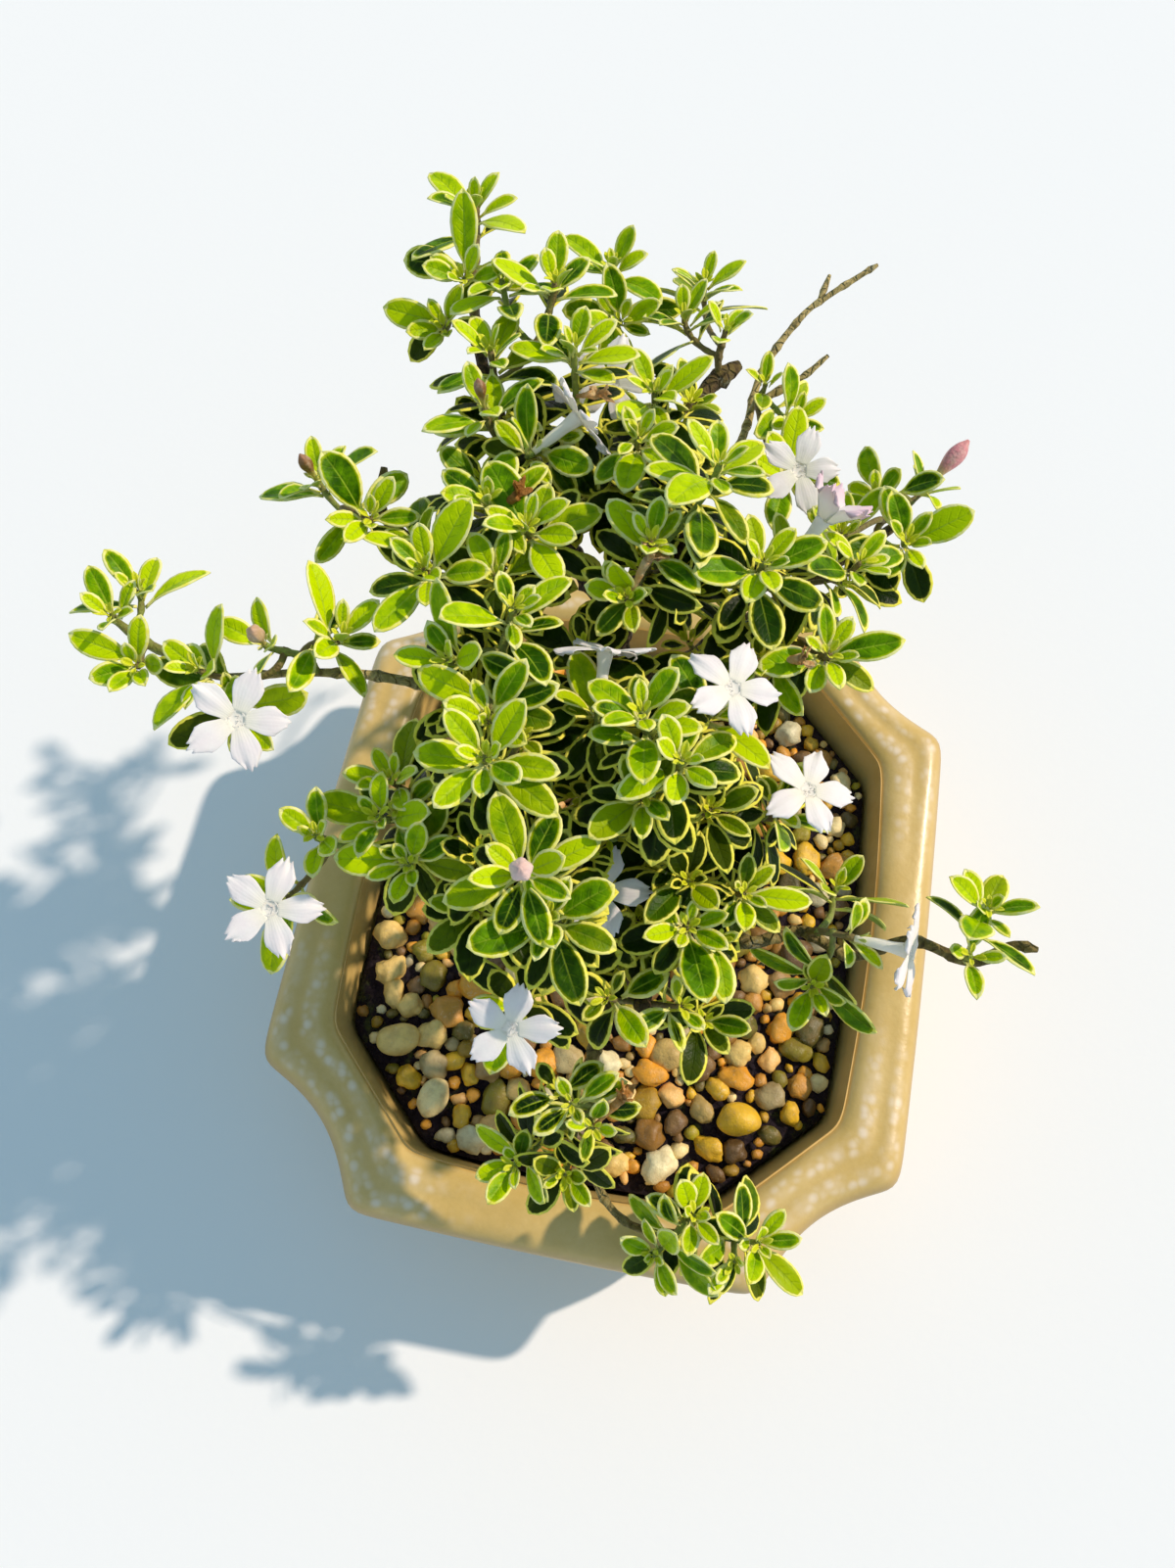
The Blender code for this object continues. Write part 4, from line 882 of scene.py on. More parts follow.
def add_leaf(piece, leaf, draw, youth=0.0, rows=11, half_columns=4, kind=LEAF_KIND, deep=0.0):
    """A folded, slightly arched blade with two faces, its margin wavy and its tip turned down."""
    blade = Blade(leaf, draw, youth)
    # Painted shade: the leaf's colour darkens by how far inside the crown it lies.
    facts = {"tone": draw.random(), "youth": youth, "deep": deep}
    thickness = LEAF_BLADE * min(1.0, leaf.length / 7.0)
    columns = [math.copysign(abs(k / half_columns) ** 0.8, k) for k in range(-half_columns, half_columns + 1)]
    tops, unders = [], []
    for row in range(rows):
        share = row / (rows - 1)
        share = lerp(share, 0.5 - 0.5 * math.cos(math.pi * share), 0.45)
        reach = leaf_outline(share) * blade.half_width
        centre = blade.midrib(share)
        top_row, under_row = [], []
        for s in columns:
            point = blade.point(centre, share, s, reach)
            edge = min(reach * (1.0 - abs(s)), (1.0 - share) * blade.length * 0.75)
            facts.update(rim=edge * (1.0 + 0.35 * youth), mid=abs(s * reach), along=share, across=s)
            thin = thickness * (1.0 if abs(s) < 0.99 else THIN_MARGIN)
            top_row.append(piece.add(point + leaf.normal * thin / 2, under=0.0, **facts))
            under_row.append(piece.add(point - leaf.normal * thin / 2, under=1.0, **facts))
        tops.append(top_row)
        unders.append(under_row)
    close_sheet(piece, tops, unders, kind)


def add_stem(piece, stem, draw):
    """A young stem with a swelling at each node, running a little way into what carries it."""
    count = max(4, int(stem.path.length / STEM_STEP))
    nodes = [spot for spot, _ in stem.nodes] + [spot for spot, _, _ in stem.branches]
    rings = []
    for k in range(-2, count + 1):
        distance = max(0.0, stem.path.length * k / count)
        point, tangent, u, v = stem.path.at(distance)
        if k < 0:
            point = point + tangent * k * 0.6
        share = distance / stem.path.length
        swell = sum(math.exp(-(((distance - spot) / NODE_REACH) ** 2)) for spot in nodes)
        radius = stem.radius * lerp(0.95, 0.68, share) * (1.0 + NODE_SWELL * min(swell, 1.2))
        radius *= 1.0 + 0.10 * draw.uniform(-1.0, 1.0)
        rings.append(round_ring((point, tangent, u, v), radius, 8))
    tube(piece, rings, STEM_KIND, youth=draw.uniform(0.3, 1.0), tone=draw.random())


def star_bud(piece, stem, draw, deep):
    """The tight bright bud of leaflets in the middle of a rosette, given painted shade where it lies inside
    the crown.
    """
    end, axis, u, _ = stem.path.at(stem.path.length)
    upright = upwards(axis, 0.6)
    first = square_to(u, upright)
    second = upright.cross(first)
    turn_start = draw.uniform(0.0, 6.28)
    count = draw.choice((4, 5, 6))
    for k in range(count):
        level = around(first, second, turn_start + TURN * k / count + draw.uniform(-0.2, 0.2))
        tilt = math.radians(draw.uniform(28.0, 62.0))
        origin = end + upright * 0.2 + level * 0.15
        leaflet = Leaf(origin, *tilted(level, upright, tilt), draw.uniform(1.5, 2.4))
        leaflet.width = leaflet.length * 0.48
        add_leaf(piece, leaflet, draw, youth=1.6, rows=6, half_columns=2, deep=deep)


def add_room_leaf(point, upright, way, size, pitch, draw, crowd, label):
    """A further leaf wherever there is room for it. The crowd then keeps clear of it too."""
    leaf = try_leaf(point, upright, way, size, pitch, draw, crowd)
    if leaf:
        crowd.add_leaf(leaf, -LEAF_OVERLAP, label)
    return leaf


def more_leaves(stem, draw, crowd, label):
    """Small inner leaves and older leaves further down, wherever there is room for them."""
    found = []
    pairs = EXTRA_PAIRS[:OPEN_PAIRS] if label in OPEN_SHOOTS else EXTRA_PAIRS
    for order, (below, size, pitch, youth) in enumerate(pairs):
        spot = stem.path.length - below
        if spot < 0.8 or (stem.ornament and below < 1.0):
            continue
        point, tangent, u, v = stem.path.at(spot)
        upright = upwards(tangent * 0.5, 0.5)
        diagonal = (u + v).normalized() if order % 2 else (u - v).normalized()
        for way in (diagonal, -diagonal):
            leaf = add_room_leaf(point, upright, way, size, pitch, draw, crowd, label)
            if leaf:
                found.append((leaf, youth))
    return found


def spur_places(path, first, last, draw):
    """Where short spurs may leave a limb or stem, and the way each one sets out."""
    count = int(path.length * (last - first) / SPUR_STEP)
    for k in range(count):
        distance = path.length * lerp(first, last, (k + draw.uniform(0.2, 0.8)) / max(1, count))
        point, _, u, v = path.at(distance)
        for angle in (draw.uniform(0.0, TURN) for _ in range(3)):
            aside = around(u, v, angle)
            if aside.z > -0.25:
                yield point, upwards(aside, 0.55)


def plan_spur(point, way, radius, draw, crowd, label):
    """A short leafy side shoot, or None where another shoot is in its way."""
    length = draw.uniform(*SPUR_LENGTHS)
    start = point + way * (radius + 0.5)
    top = start + upwards(way, 0.5) * length
    stem = Stem(Path(bend(start, way, top, upwards(way, 1.2), 6)), STEM_RADIUS * 0.8)
    tree = round_tree(stem.path, stem.radii)
    if crowd.hit(tree, top, length + 1.0) or top.z > SPUR_TOP:
        return None
    leaves = []
    for below, size, pitch, youth in SPUR_PAIRS:
        spot = max(0.3, length - below)
        here, tangent, u, v = stem.path.at(spot)
        upright = upwards(tangent * 0.5, 0.5)
        across = u if len(leaves) % 4 < 2 else v
        for side in (across, -across):
            leaf = try_leaf(here, upright, side, size, pitch, draw, crowd)
            if leaf:
                leaves.append((leaf, youth))
    if len(leaves) < 2:
        return None
    for leaf, _ in leaves:
        crowd.add_leaf(leaf, -LEAF_OVERLAP, label)
    crowd.add(tree, top, length, label)
    return stem, leaves


def plan_spurs(shoots, limbs, crowd):
    """The small shaded spurs inside the crown."""
    draw = random.Random("spurs")
    spurs = []
    routes = [(limb_name, limbs[limb_name], *share, LIMBS[limb_name][1] * 0.8)
              for limb_name, share in SPUR_LIMBS.items()]
    for name, main in shoots.items():
        if name in OPEN_SHOOTS:
            continue
        for stem in stems_of(main):
            routes.append((name, stem.path, 0.05, 0.8, stem.radius))
    for label, path, first, last, radius in routes:
        for point, way in spur_places(path, first, last, draw):
            spur = plan_spur(point, way, radius, draw, crowd, label)
            if spur:
                spurs.append(spur)
    return spurs


def plan_leafage(shoots, crowd):
    """Every leaf of each stem with its youth: those the solids have, and further ones between them."""
    leafage = {}
    for name, main in shoots.items():
        draw = random.Random(f"{name} growth")
        for stem in stems_of(main):
            leaves = []
            for spot, pair in stem.nodes:
                youth = lerp(0.75, 0.1, min((stem.path.length - spot) / PAIR_BELOW_TIP[0], 1.0))
                leaves += [(leaf, youth) for leaf in pair]
            leafage[stem] = leaves + more_leaves(stem, draw, crowd, name)
    return leafage


class Cover:
    """How far inside the crown a place lies, told from the leaves above it. The painted shade of leaves and
    leaflets follows it.
    """

    def __init__(self, leaves):
        middles = [leaf.middle() for leaf, _ in leaves]
        self.places = KDTree(len(middles))
        for index, middle in enumerate(middles):
            self.places.insert((middle.x, middle.y, 0.0), index)
        self.places.balance()
        self.heights = [middle.z for middle in middles]

    def over(self, point):
        """0 where the sky is open above a place, up to 1 where many leaves lie over it."""
        near = self.places.find_range((point.x, point.y, 0.0), COVER_RADIUS)
        weights = [smooth_step(1.0, 9.0, self.heights[index] - point.z) for _, index, _ in near]
        return min(1.0, sum(weights) / COVER_FULL)


def add_leafy_stem(piece, stem, leaves, cover, draw):
    """A stem with its leaves and, where no flower or bud stands on it, the leaflets at its end."""
    add_stem(piece, stem, draw)
    for leaf, youth in leaves:
        # How far inside the crown each leaf lies: it sets the leaf's painted shade, and more covered leaves
        # get fewer faces.
        deep = cover.over(leaf.middle())
        if leaf.length < SHORT_LEAF or deep > COARSE_COVER:
            add_leaf(piece, leaf, draw, youth, 8, 3, deep=deep)
        else:
            add_leaf(piece, leaf, draw, youth, deep=deep)
    # The leaflets at a stem's end get a milder painted shade.
    if not stem.ornament:
        star_bud(piece, stem, draw, 0.6 * cover.over(stem.path.points[-1]))


def build_spur_pieces(spurs, cover, materials):
    """One piece for each region of the crown."""
    draw = random.Random("spur looks")
    pieces = {}
    for stem, leaves in spurs:
        start = stem.path.points[0]
        region = "front" if start.y < FRONT_REGION else ("back" if start.y > BACK_REGION else "middle")
        add_leafy_stem(pieces.setdefault(region, Piece()), stem, leaves, cover, draw)
    for region, piece in sorted(pieces.items()):
        piece.make(f"inner_spurs_{region}", materials, "leaf")


def build_shoot_piece(name, main, leafage, cover, materials):
    """The finer form of one leafy shoot."""
    draw = random.Random(f"{name} looks")
    piece = Piece()
    for stem in stems_of(main):
        add_leafy_stem(piece, stem, leafage[stem], cover, draw)
    piece.make(f"{name}_leaves", materials, "leaf", name)


# ---------------------------------------------------------------- woody limbs


def bark_radius(base, distance, angle, seed):
    """A limb's radius with ridges, knots and cracks."""
    place = Vector((math.cos(angle) * 0.9, math.sin(angle) * 0.9, distance * BARK_STRETCH)) + seed
    ridge = noise.noise(Vector((place.x * 2.2, place.y * 2.2, distance * 0.16)) + seed)
    knot = noise.noise(place * 0.9)
    fine = noise.noise(place * 4.5)
    return base * (1.0 + 0.20 * knot + 0.14 * ridge + 0.07 * fine)


def build_wood_piece(limbs, materials):
    """Trunk, roots, limbs and dry twigs with their bark."""
    piece = Piece()
    for index, (name, path) in enumerate(limbs.items()):
        _, first, last = LIMBS[name]
        seed = Vector((index * 7.3, index * 3.1, index * 1.7))
        sides = 18 if first > THICK_LIMB else 12
        count = int(path.length / BARK_STEP)
        rings = []
        for k in range(count + 1):
            distance = path.length * k / count
            share = k / count
            base = lerp(first, last, share) * lerp(1.0, SLIMMER.get(name, 1.0), smooth_step(0.15, 0.4, share))
            if name == "trunk":
                base *= 1.0 + TRUNK_FLARE * math.exp(-distance / FLARE_LENGTH)
            else:
                from_knot = (distance + seed.x) % KNOT_STEP - KNOT_STEP / 2
                base *= KNOT_WAIST + KNOT_SWELL * math.exp(-((from_knot / KNOT_REACH) ** 2))
                base *= 1.0 - 0.35 * smooth_step(path.length - 1.6, path.length, distance)
            point, _, u, v = path.at(distance)
            angles = [TURN * side / sides for side in range(sides)]
            radii = [bark_radius(base, distance, angle, seed) for angle in angles]
            rings.append([point + around(u, v, angle) * radius for angle, radius in zip(angles, radii)])
        tube(piece, rings, youth=BARK_YOUTH.get(name, 0.15))
    piece.make("wood", materials, "wood", "trunk_and_limbs")


# ---------------------------------------------------------------- flowers and buds


def petal_outline(share):
    """Half a petal's width at a share of its length: narrow at the throat and broad towards the end."""
    broad = lerp(0.52, 1.0, smooth_step(0.0, 0.56, share))
    return LOBE_WIDTH / 2 * FULLER_PETAL * broad * (1.0 - 0.40 * smooth_step(0.80, 1.0, share))


def add_petal(piece, base, axis, out, draw, fold, pink):
    """One ragged lobe of the corolla, spreading from the throat and rolling back at its tip."""
    side = out.cross(axis)
    out = (out + axis * fold).normalized()
    axis = side.cross(out)
    length = LOBE_LENGTH * draw.uniform(1.0, 1.16)
    roll = draw.uniform(0.05, 0.28)
    lift = draw.uniform(-0.08, 0.10)
    phase = draw.uniform(0.0, TURN)
    notch = draw.uniform(0.03, 0.075)
    lean = draw.uniform(-0.7, 0.7)
    rows, half_columns = 14, 9
    tops, unders = [], []
    for row in range(rows):
        share = row / (rows - 1)
        half = petal_outline(share)
        top_row, under_row = [], []
        for k in range(-half_columns, half_columns + 1):
            s = k / half_columns
            teeth = notch * math.cos(3.0 * math.pi * s + lean) - 0.25 * abs(s) ** 2.6
            reach = length * share * (1.0 + teeth * smooth_step(0.55, 1.0, share))
            crease = 0.10 * math.cos(2.0 * math.pi * s) * share * (1.0 - 0.5 * share)
            ruffle = 0.24 * share**3 * math.sin(phase + 5.0 * s)
            height = reach * lift - length * roll * share**2.4 + crease + ruffle - 0.3 * abs(s) ** 2 * share
            point = base + out * reach * (1.0 - 0.15 * roll * share) + side * s * half + axis * height
            facts = {"along": share, "across": s, "pink": pink}
            top_row.append(piece.add(point + axis * PETAL_BLADE / 2, **facts))
            under_row.append(piece.add(point - axis * PETAL_BLADE / 2, **facts))
        tops.append(top_row)
        unders.append(under_row)
    close_sheet(piece, tops, unders)


def add_calyx(piece, base, axis, draw, size=SEPAL_LENGTH):
    """The small green sepals that hold a flower's tube or a bud."""
    first = axis.orthogonal().normalized()
    second = axis.cross(first)
    for k in range(SEPALS):
        level = around(first, second, TURN * k / SEPALS + draw.uniform(-0.2, 0.2))
        tilt = math.radians(draw.uniform(50.0, 68.0))
        sepal = Leaf(base + level * 0.3, *tilted(level, axis, tilt), size)
        sepal.width = size * 0.4
        add_leaf(piece, sepal, draw, youth=0.7, rows=5, half_columns=2, kind=CALYX_KIND)


def build_flower_piece(name, base, axis, materials):
    """A flower: its tube, five lobes, the hairs in its throat and its calyx."""
    draw = random.Random(f"{name} looks")
    fold = LOBE_FOLD.get(name, FLOWERS[name][-1])
    pink = 1.0 if fold > 1.0 else 0.0
    piece = Piece()
    path = Path([base - axis * 0.5, base + axis * TUBE_LENGTH])
    places = []
    for k in range(13):
        share = k / 12
        radius = lerp(0.5, 0.8, smooth_step(0.0, 0.5, share))
        places.append((share, radius + (MOUTH_RADIUS - 0.8) * smooth_step(0.62, 1.0, share)))
    places += [(share, MOUTH_RADIUS * wide) for share, wide in THROAT]
    tube(piece, rings_at(path, TUBE_SIDES, places), along=0.2, across=0.0, pink=pink)
    throat = base + axis * (TUBE_LENGTH - 0.1)
    first = path.sides[0]
    second = axis.cross(first)
    for k in range(LOBES):
        out = around(first, second, TURN * (k + 0.5) / LOBES)
        add_petal(piece, throat + out * MOUTH_RADIUS * 0.75, axis, out, draw, fold, pink)
    for _ in range(THROAT_HAIRS):
        angle = draw.uniform(0.0, TURN)
        distance = draw.uniform(0.1, 1.2)
        level = around(first, second, angle)
        root = throat + level * distance - axis * 0.15
        lean = (axis * 0.8 + level * draw.uniform(0.1, 1.1)).normalized()
        hair = Path([root, root + lean * draw.uniform(0.35, 0.65)])
        tube(piece, rings_at(hair, 5, HAIR_PLACES), along=0.3, across=0.0)
    add_calyx(piece, base, axis, draw)
    piece.make(f"{name}_petals", materials, "petal", name)


def build_bud_piece(name, base, axis, materials):
    """A long closed bud of rolled petals in its small green cup."""
    draw = random.Random(f"{name} looks")
    piece = Piece()
    width, tone = BUD_LOOKS[name]
    path = Path([base - axis * 0.4, base + axis * BUDS[name][-1]])
    rings = []
    for k in range(17):
        share = k / 16
        fat = 0.32 + 0.68 * smooth_step(0.16, 0.68, share)
        fat *= math.sqrt(max(0.0, 1.0 - smooth_step(0.66, 1.0, share) ** 1.6 * 0.97))
        point, _, u, v = path.at(path.length * share)
        ring = []
        for side in range(TUBE_SIDES):
            angle = TURN * side / TUBE_SIDES
            ridge = 1.0 + 0.09 * math.cos(5 * angle + 2.2 * share) * smooth_step(0.2, 0.7, share)
            ring.append(point + around(u, v, angle) * width / 2 * fat * ridge)
        rings.append(ring)
    tube(piece, rings, tone=tone)
    add_calyx(piece, base, axis, draw, BUD_SEPAL_LENGTH)
    piece.make(f"{name}_petals", materials, "bud", name)


def nearest_stem(shoots, point):
    """The place on any stem that is nearest to a point, and the stem's direction there."""
    places = []
    for main in shoots.values():
        for stem in stems_of(main):
            places += zip(stem.path.points, stem.path.tangents)
    return min(places, key=lambda place: (place[0] - point).length)


def build_withered(shoots, materials):
    """Flowers that have dried on the tree: a shrunken tube with a crumpled tuft."""
    noise.seed_set(NOISE_SEED)
    draw = random.Random("withered")
    piece = Piece()
    for place, length in WITHERED:
        start, along = nearest_stem(shoots, Vector(place))
        aside = Vector((draw.uniform(-1.0, 1.0), draw.uniform(-1.0, 1.0), 0.9))
        way = upwards(square_to(aside, along), 0.5)
        end = start + way * length + Vector((draw.uniform(-1.0, 1.0), draw.uniform(-1.0, 1.0), 0.0))
        path = Path(bend(start, way, end, way, 8))
        shares = [k / 8 for k in range(9)]
        places = [(share, lerp(0.3, 0.8, share**1.5) * draw.uniform(0.85, 1.15)) for share in shares]
        tone = draw.random()
        tube(piece, rings_at(path, 9, places), tone=tone)
        first = path.sides[-1]
        second = path.tangents[-1].cross(first)
        for _ in range(SHREDS):
            level = around(first, second, draw.uniform(0.0, TURN))
            lobe = (level * draw.uniform(0.5, 1.1) + path.tangents[-1]).normalized()
            normal = square_to(path.tangents[-1], lobe)
            shred = Leaf(end - way * 0.4, lobe, normal, draw.uniform(2.0, 3.4))
            shred.width = shred.length * draw.uniform(0.3, 0.55)
            first_new = len(piece.points)
            add_leaf(piece, shred, draw, rows=7, half_columns=2)
            for index in range(first_new, len(piece.points)):
                piece.points[index] += noise.noise_vector(piece.points[index] * 1.3) * 0.5
                piece.values["tone"][index] = tone
    piece.make("withered_flowers", materials, "petal")


# ---------------------------------------------------------------- pot


def cut_corner(sizes, cut, hollow, share):
    """A point of a cut and hollowed corner, at a share of the way round it."""
    along, across = sizes
    chord = Vector((along, across - cut)).lerp(Vector((along - cut, across)), share)
    return chord + Vector((-1.0, -1.0)).normalized() * hollow * math.sin(math.pi * share)


def dense_outline(inset, cut, hollow, bow):
    """The pot's outline with many points, its corners eased by averaging each point with its neighbours."""
    points = []
    for quarter in range(4):
        sizes = quarter_sizes(quarter, inset)
        end = Vector((sizes[0] - cut, sizes[1]))
        side_end = Vector((cut - sizes[0], sizes[1]))
        turn = Matrix.Rotation(quarter * math.pi / 2, 2)
        for step in range(CORNER_POINTS):
            points.append(turn @ cut_corner(sizes, cut, hollow, step / CORNER_POINTS))
        for step in range(SIDE_POINTS):
            share = step / SIDE_POINTS
            points.append(turn @ (end.lerp(side_end, share) + Vector((0.0, bow * math.sin(math.pi * share)))))
    count = len(points)
    weights = [math.exp(-((k / OUTLINE_EASING) ** 2)) for k in range(-EASING_REACH, EASING_REACH + 1)]
    eased = []
    for i in range(count):
        total = Vector((0.0, 0.0))
        for k, weight in zip(range(-EASING_REACH, EASING_REACH + 1), weights):
            total += points[(i + k) % count] * weight
        eased.append(total / sum(weights))
    return eased


def rows_between(rows, steps):
    """Catmull-Rom steps between the rows of a profile."""
    padded = [rows[0], *rows, rows[-1]]
    found = [rows[0]]
    for window in zip(padded, padded[1:], padded[2:], padded[3:]):
        for step in range(1, steps + 1):
            found.append(tuple(catmull_rom(*values, step / steps) for values in zip(*window)))
    return found


def corner_nearness(index):
    """1 in the middle of a cut corner, falling to 0 a little way along the straight sides."""
    period = CORNER_POINTS + SIDE_POINTS
    offset = (index % period) - CORNER_POINTS / 2
    if offset > period / 2:
        offset -= period
    return 1.0 - smooth_step(CORNER_POINTS * 0.42, CORNER_POINTS * 1.25, abs(offset))


def pot_profile():
    """Rings up the outside and down the inside, as (inset, height, corner cut, its hollow, side bow)."""
    top, cut, hollow, bow = POT_HEIGHT, CORNER_CUT, CORNER_HOLLOW, SIDE_BOW
    return [
        (WALL_TAPER, FOOT_HEIGHT, FOOT_CORNER_CUT, hollow, bow),
        (WALL_TAPER - 4.0, FOOT_HEIGHT + 14.0, cut - 0.8, hollow, bow),
        (3.4, top - 9.0, cut - 0.4, hollow, bow),
        (0.6, top - 6.5, cut, hollow, bow),
        (0.0, top - 3.6, cut, hollow, bow),
        (1.6, top - 1.0, cut - 0.2, hollow, bow),
        (4.6, top, cut - 0.8, hollow * 0.8, bow),
        (9.4, top - 0.2, cut - 2.2, hollow * 0.3, 1.2),
        (RIM_WIDTH, top - 1.6, INNER_CORNER_CUT, 0.0, INNER_BOW),
        (RIM_WIDTH + LIP_SET_BACK, top - LIP_DEPTH, INNER_CORNER_CUT, 0.0, INNER_BOW),
        (RIM_WIDTH + INNER_TAPER, FLOOR_TOP, INNER_CORNER_CUT, 0.0, 1.0),
    ]


def add_pot_ring(piece, inset, height, cut, hollow, bow):
    """One ring of the pot. On the rim its points wander a little and dip into a groove at the corners."""
    on_rim = smooth_step(POT_HEIGHT - 5.0, POT_HEIGHT - 1.5, height)
    dabbed = smooth_step(POT_HEIGHT - 9.0, POT_HEIGHT - 5.0, height)
    ring = []
    for index, point in enumerate(dense_outline(inset, cut, hollow, bow)):
        corner = corner_nearness(index)
        wave = noise.noise(Vector((point.x * 0.11, point.y * 0.11, height * 0.15)))
        fine = noise.noise(Vector((point.x * 0.35, point.y * 0.35, height * 0.4 + 9.0)))
        dip = on_rim * corner * RIM_GROOVE * math.exp(-(((inset - GROOVE_INSET) / GROOVE_WIDTH) ** 2))
        rise = (wave * 0.30 + fine * 0.05) * on_rim
        place = Vector((point.x, point.y, height - dip + rise * 0.6))
        # corner marks where the rim's paler dabs go; those dabs are partly painted highlights.
        ring.append(piece.add(place, corner=corner * dabbed, inset=inset))
    return ring


def build_pot_piece(materials):
    """The glazed pot with its rim, bracket feet and drainage holes."""
    piece = Piece()
    made = [add_pot_ring(piece, *row) for row in rows_between(pot_profile(), 5)]
    piece.bridge(made, closed=True)
    for ring, turned in ((made[0], True), (made[-1], False)):
        middle = piece.add(sum((piece.points[i] for i in ring), Vector()) / len(ring))
        piece.fan(ring, middle, turned)
    body = piece.build("pot_body", materials)
    for quarter in range(4):
        combine(body, foot_solid(quarter, materials[0]), "UNION")
    for side in (-1, 1):
        combine(body, hole_solid(side), "DIFFERENCE")
    finish_combined(body, "glazed_pot", "pot", "pot")


def foot_solid(quarter, material):
    """A bracket foot under one cut corner, its lower edge eased, reaching up into the pot's underside."""
    along, across = quarter_sizes(quarter, WALL_TAPER + FOOT_SET_IN)
    reach = FOOT_CORNER_CUT + FOOT_LENGTH
    shares = [step / FOOT_STEPS for step in range(FOOT_STEPS + 1)]
    outline = [
        Vector((along, across - reach)),
        *(cut_corner((along, across), FOOT_CORNER_CUT, CORNER_HOLLOW, share) for share in shares),
        Vector((along - reach, across)),
        Vector((along - reach, across - FOOT_THICKNESS)),
        Vector((along - FOOT_THICKNESS, across - reach)),
    ]
    turn = Matrix.Rotation(quarter * math.pi / 2, 2)
    bm = bmesh.new()
    face = bm.faces.new([bm.verts.new(((turn @ point).to_3d() + CENTRE) * MM) for point in outline])
    raised = bmesh.ops.extrude_face_region(bm, geom=[face])["geom"]
    lifted = [item for item in raised if isinstance(item, bmesh.types.BMVert)]
    bmesh.ops.translate(bm, verts=lifted, vec=(0.0, 0.0, (FOOT_HEIGHT + FOOT_OVERLAP) * MM))
    bmesh.ops.recalc_face_normals(bm, faces=bm.faces)
    low_edges = [edge for edge in bm.edges if max(vert.co.z for vert in edge.verts) < 0.1 * MM]
    bmesh.ops.bevel(bm, geom=low_edges, offset=0.5 * MM, segments=2, profile=0.5, affect="EDGES")
    mesh = mesh_of(bm, f"foot_{quarter + 1}")
    mesh.materials.append(material)
    return new_object(mesh.name, mesh)


def hole_solid(side):
    """What a drainage hole takes out of the floor."""
    bm = bmesh.new()
    place = Matrix.Translation((Vector((0.0, side * HOLE_SPACING / 2, FLOOR_TOP / 2)) + CENTRE) * MM)
    bmesh.ops.create_cone(bm, cap_ends=True, segments=48, radius1=HOLE_RADIUS * MM, radius2=HOLE_RADIUS * MM,
                          depth=FLOOR_TOP * 2 * MM, matrix=place)
    return new_object("hole", mesh_of(bm, "hole"))


def combine(obj, other, operation):
    """Adds a Boolean, which finish_combined applies."""
    modifier = obj.modifiers.new(other.name, "BOOLEAN")
    modifier.object = other
    modifier.operation = operation


def finish_combined(obj, name, slot, replaced):
    """Applies the object's Booleans, removes what they used and hands it over as one piece."""
    helpers = [modifier.object for modifier in obj.modifiers]
    mesh = applied(obj)
    for helper in (*helpers, obj):
        bpy.data.objects.remove(helper, do_unlink=True)
    mesh.name = name
    mesh.polygons.foreach_set("use_smooth", [True] * len(mesh.polygons))
    mesh.set_sharp_from_angle(angle=math.radians(SHARP_ANGLE))
    hand_over(new_object(name, mesh), slot, replaced)


# ---------------------------------------------------------------- soil and stones


def soil_height(x, y):
    """The soil's crowned surface: low along the pot's wall and highest in the middle."""
    half_width = POT_WIDTH / 2 - RIM_WIDTH - 1.0
    half_depth = POT_DEPTH / 2 - RIM_WIDTH - 1.0
    share = min(1.0, max(abs(x) / half_width, abs(y) / half_depth))
    crown = SOIL_EDGE + (SOIL_CROWN - SOIL_EDGE) * math.cos(math.pi * share / 2) ** SOIL_FALL
    waves = noise.noise(Vector((x * 0.16, y * 0.16, 2.0))) * 0.5
    clods = noise.noise(Vector((x * 0.5, y * 0.5, 5.0))) * 0.45
    return crown + (waves + clods) * (1.0 - 0.6 * share)


def build_soil_piece(materials):
    """The bed of soil, from the pot's floor up to its uneven crowned surface."""
    edge = dense_outline(inner_wall_inset(SOIL_EDGE) + 2 * GAP, INNER_CORNER_CUT, 0.0, 1.0)
    low = FLOOR_TOP + GAP
    base = dense_outline(inner_wall_inset(low) + 2 * GAP, INNER_CORNER_CUT, 0.0, SOIL_BOW)
    piece = Piece()
    rings = [[piece.add(Vector((point.x, point.y, low))) for point in base]]
    for step in range(SOIL_RINGS):
        share = 1.0 - step / SOIL_RINGS
        ring = []
        for point in edge:
            x, y = point.x * share, point.y * share
            height = SOIL_EDGE - 0.5 if step == 0 else soil_height(x, y)
            ring.append(piece.add(Vector((x, y, height))))
        rings.append(ring)
    piece.bridge(rings, closed=True)
    piece.fan(rings[-1], piece.add(Vector((0.0, 0.0, soil_height(0.0, 0.0)))), False)
    piece.fan(rings[0], piece.add(Vector((0.0, 0.0, low))), True)
    piece.make("soil_bed", materials, "soil", "soil")


def inside_bed(x, y, margin):
    """Whether a point of the soil's surface lies inside the pot's inner outline, less a margin."""
    half_width = POT_WIDTH / 2 - RIM_WIDTH - 1.5 - margin
    half_depth = POT_DEPTH / 2 - RIM_WIDTH - 1.5 - margin
    corner = half_width + half_depth - INNER_CORNER_CUT - margin * 0.4
    return abs(x) < half_width and abs(y) < half_depth and abs(x) + abs(y) < corner


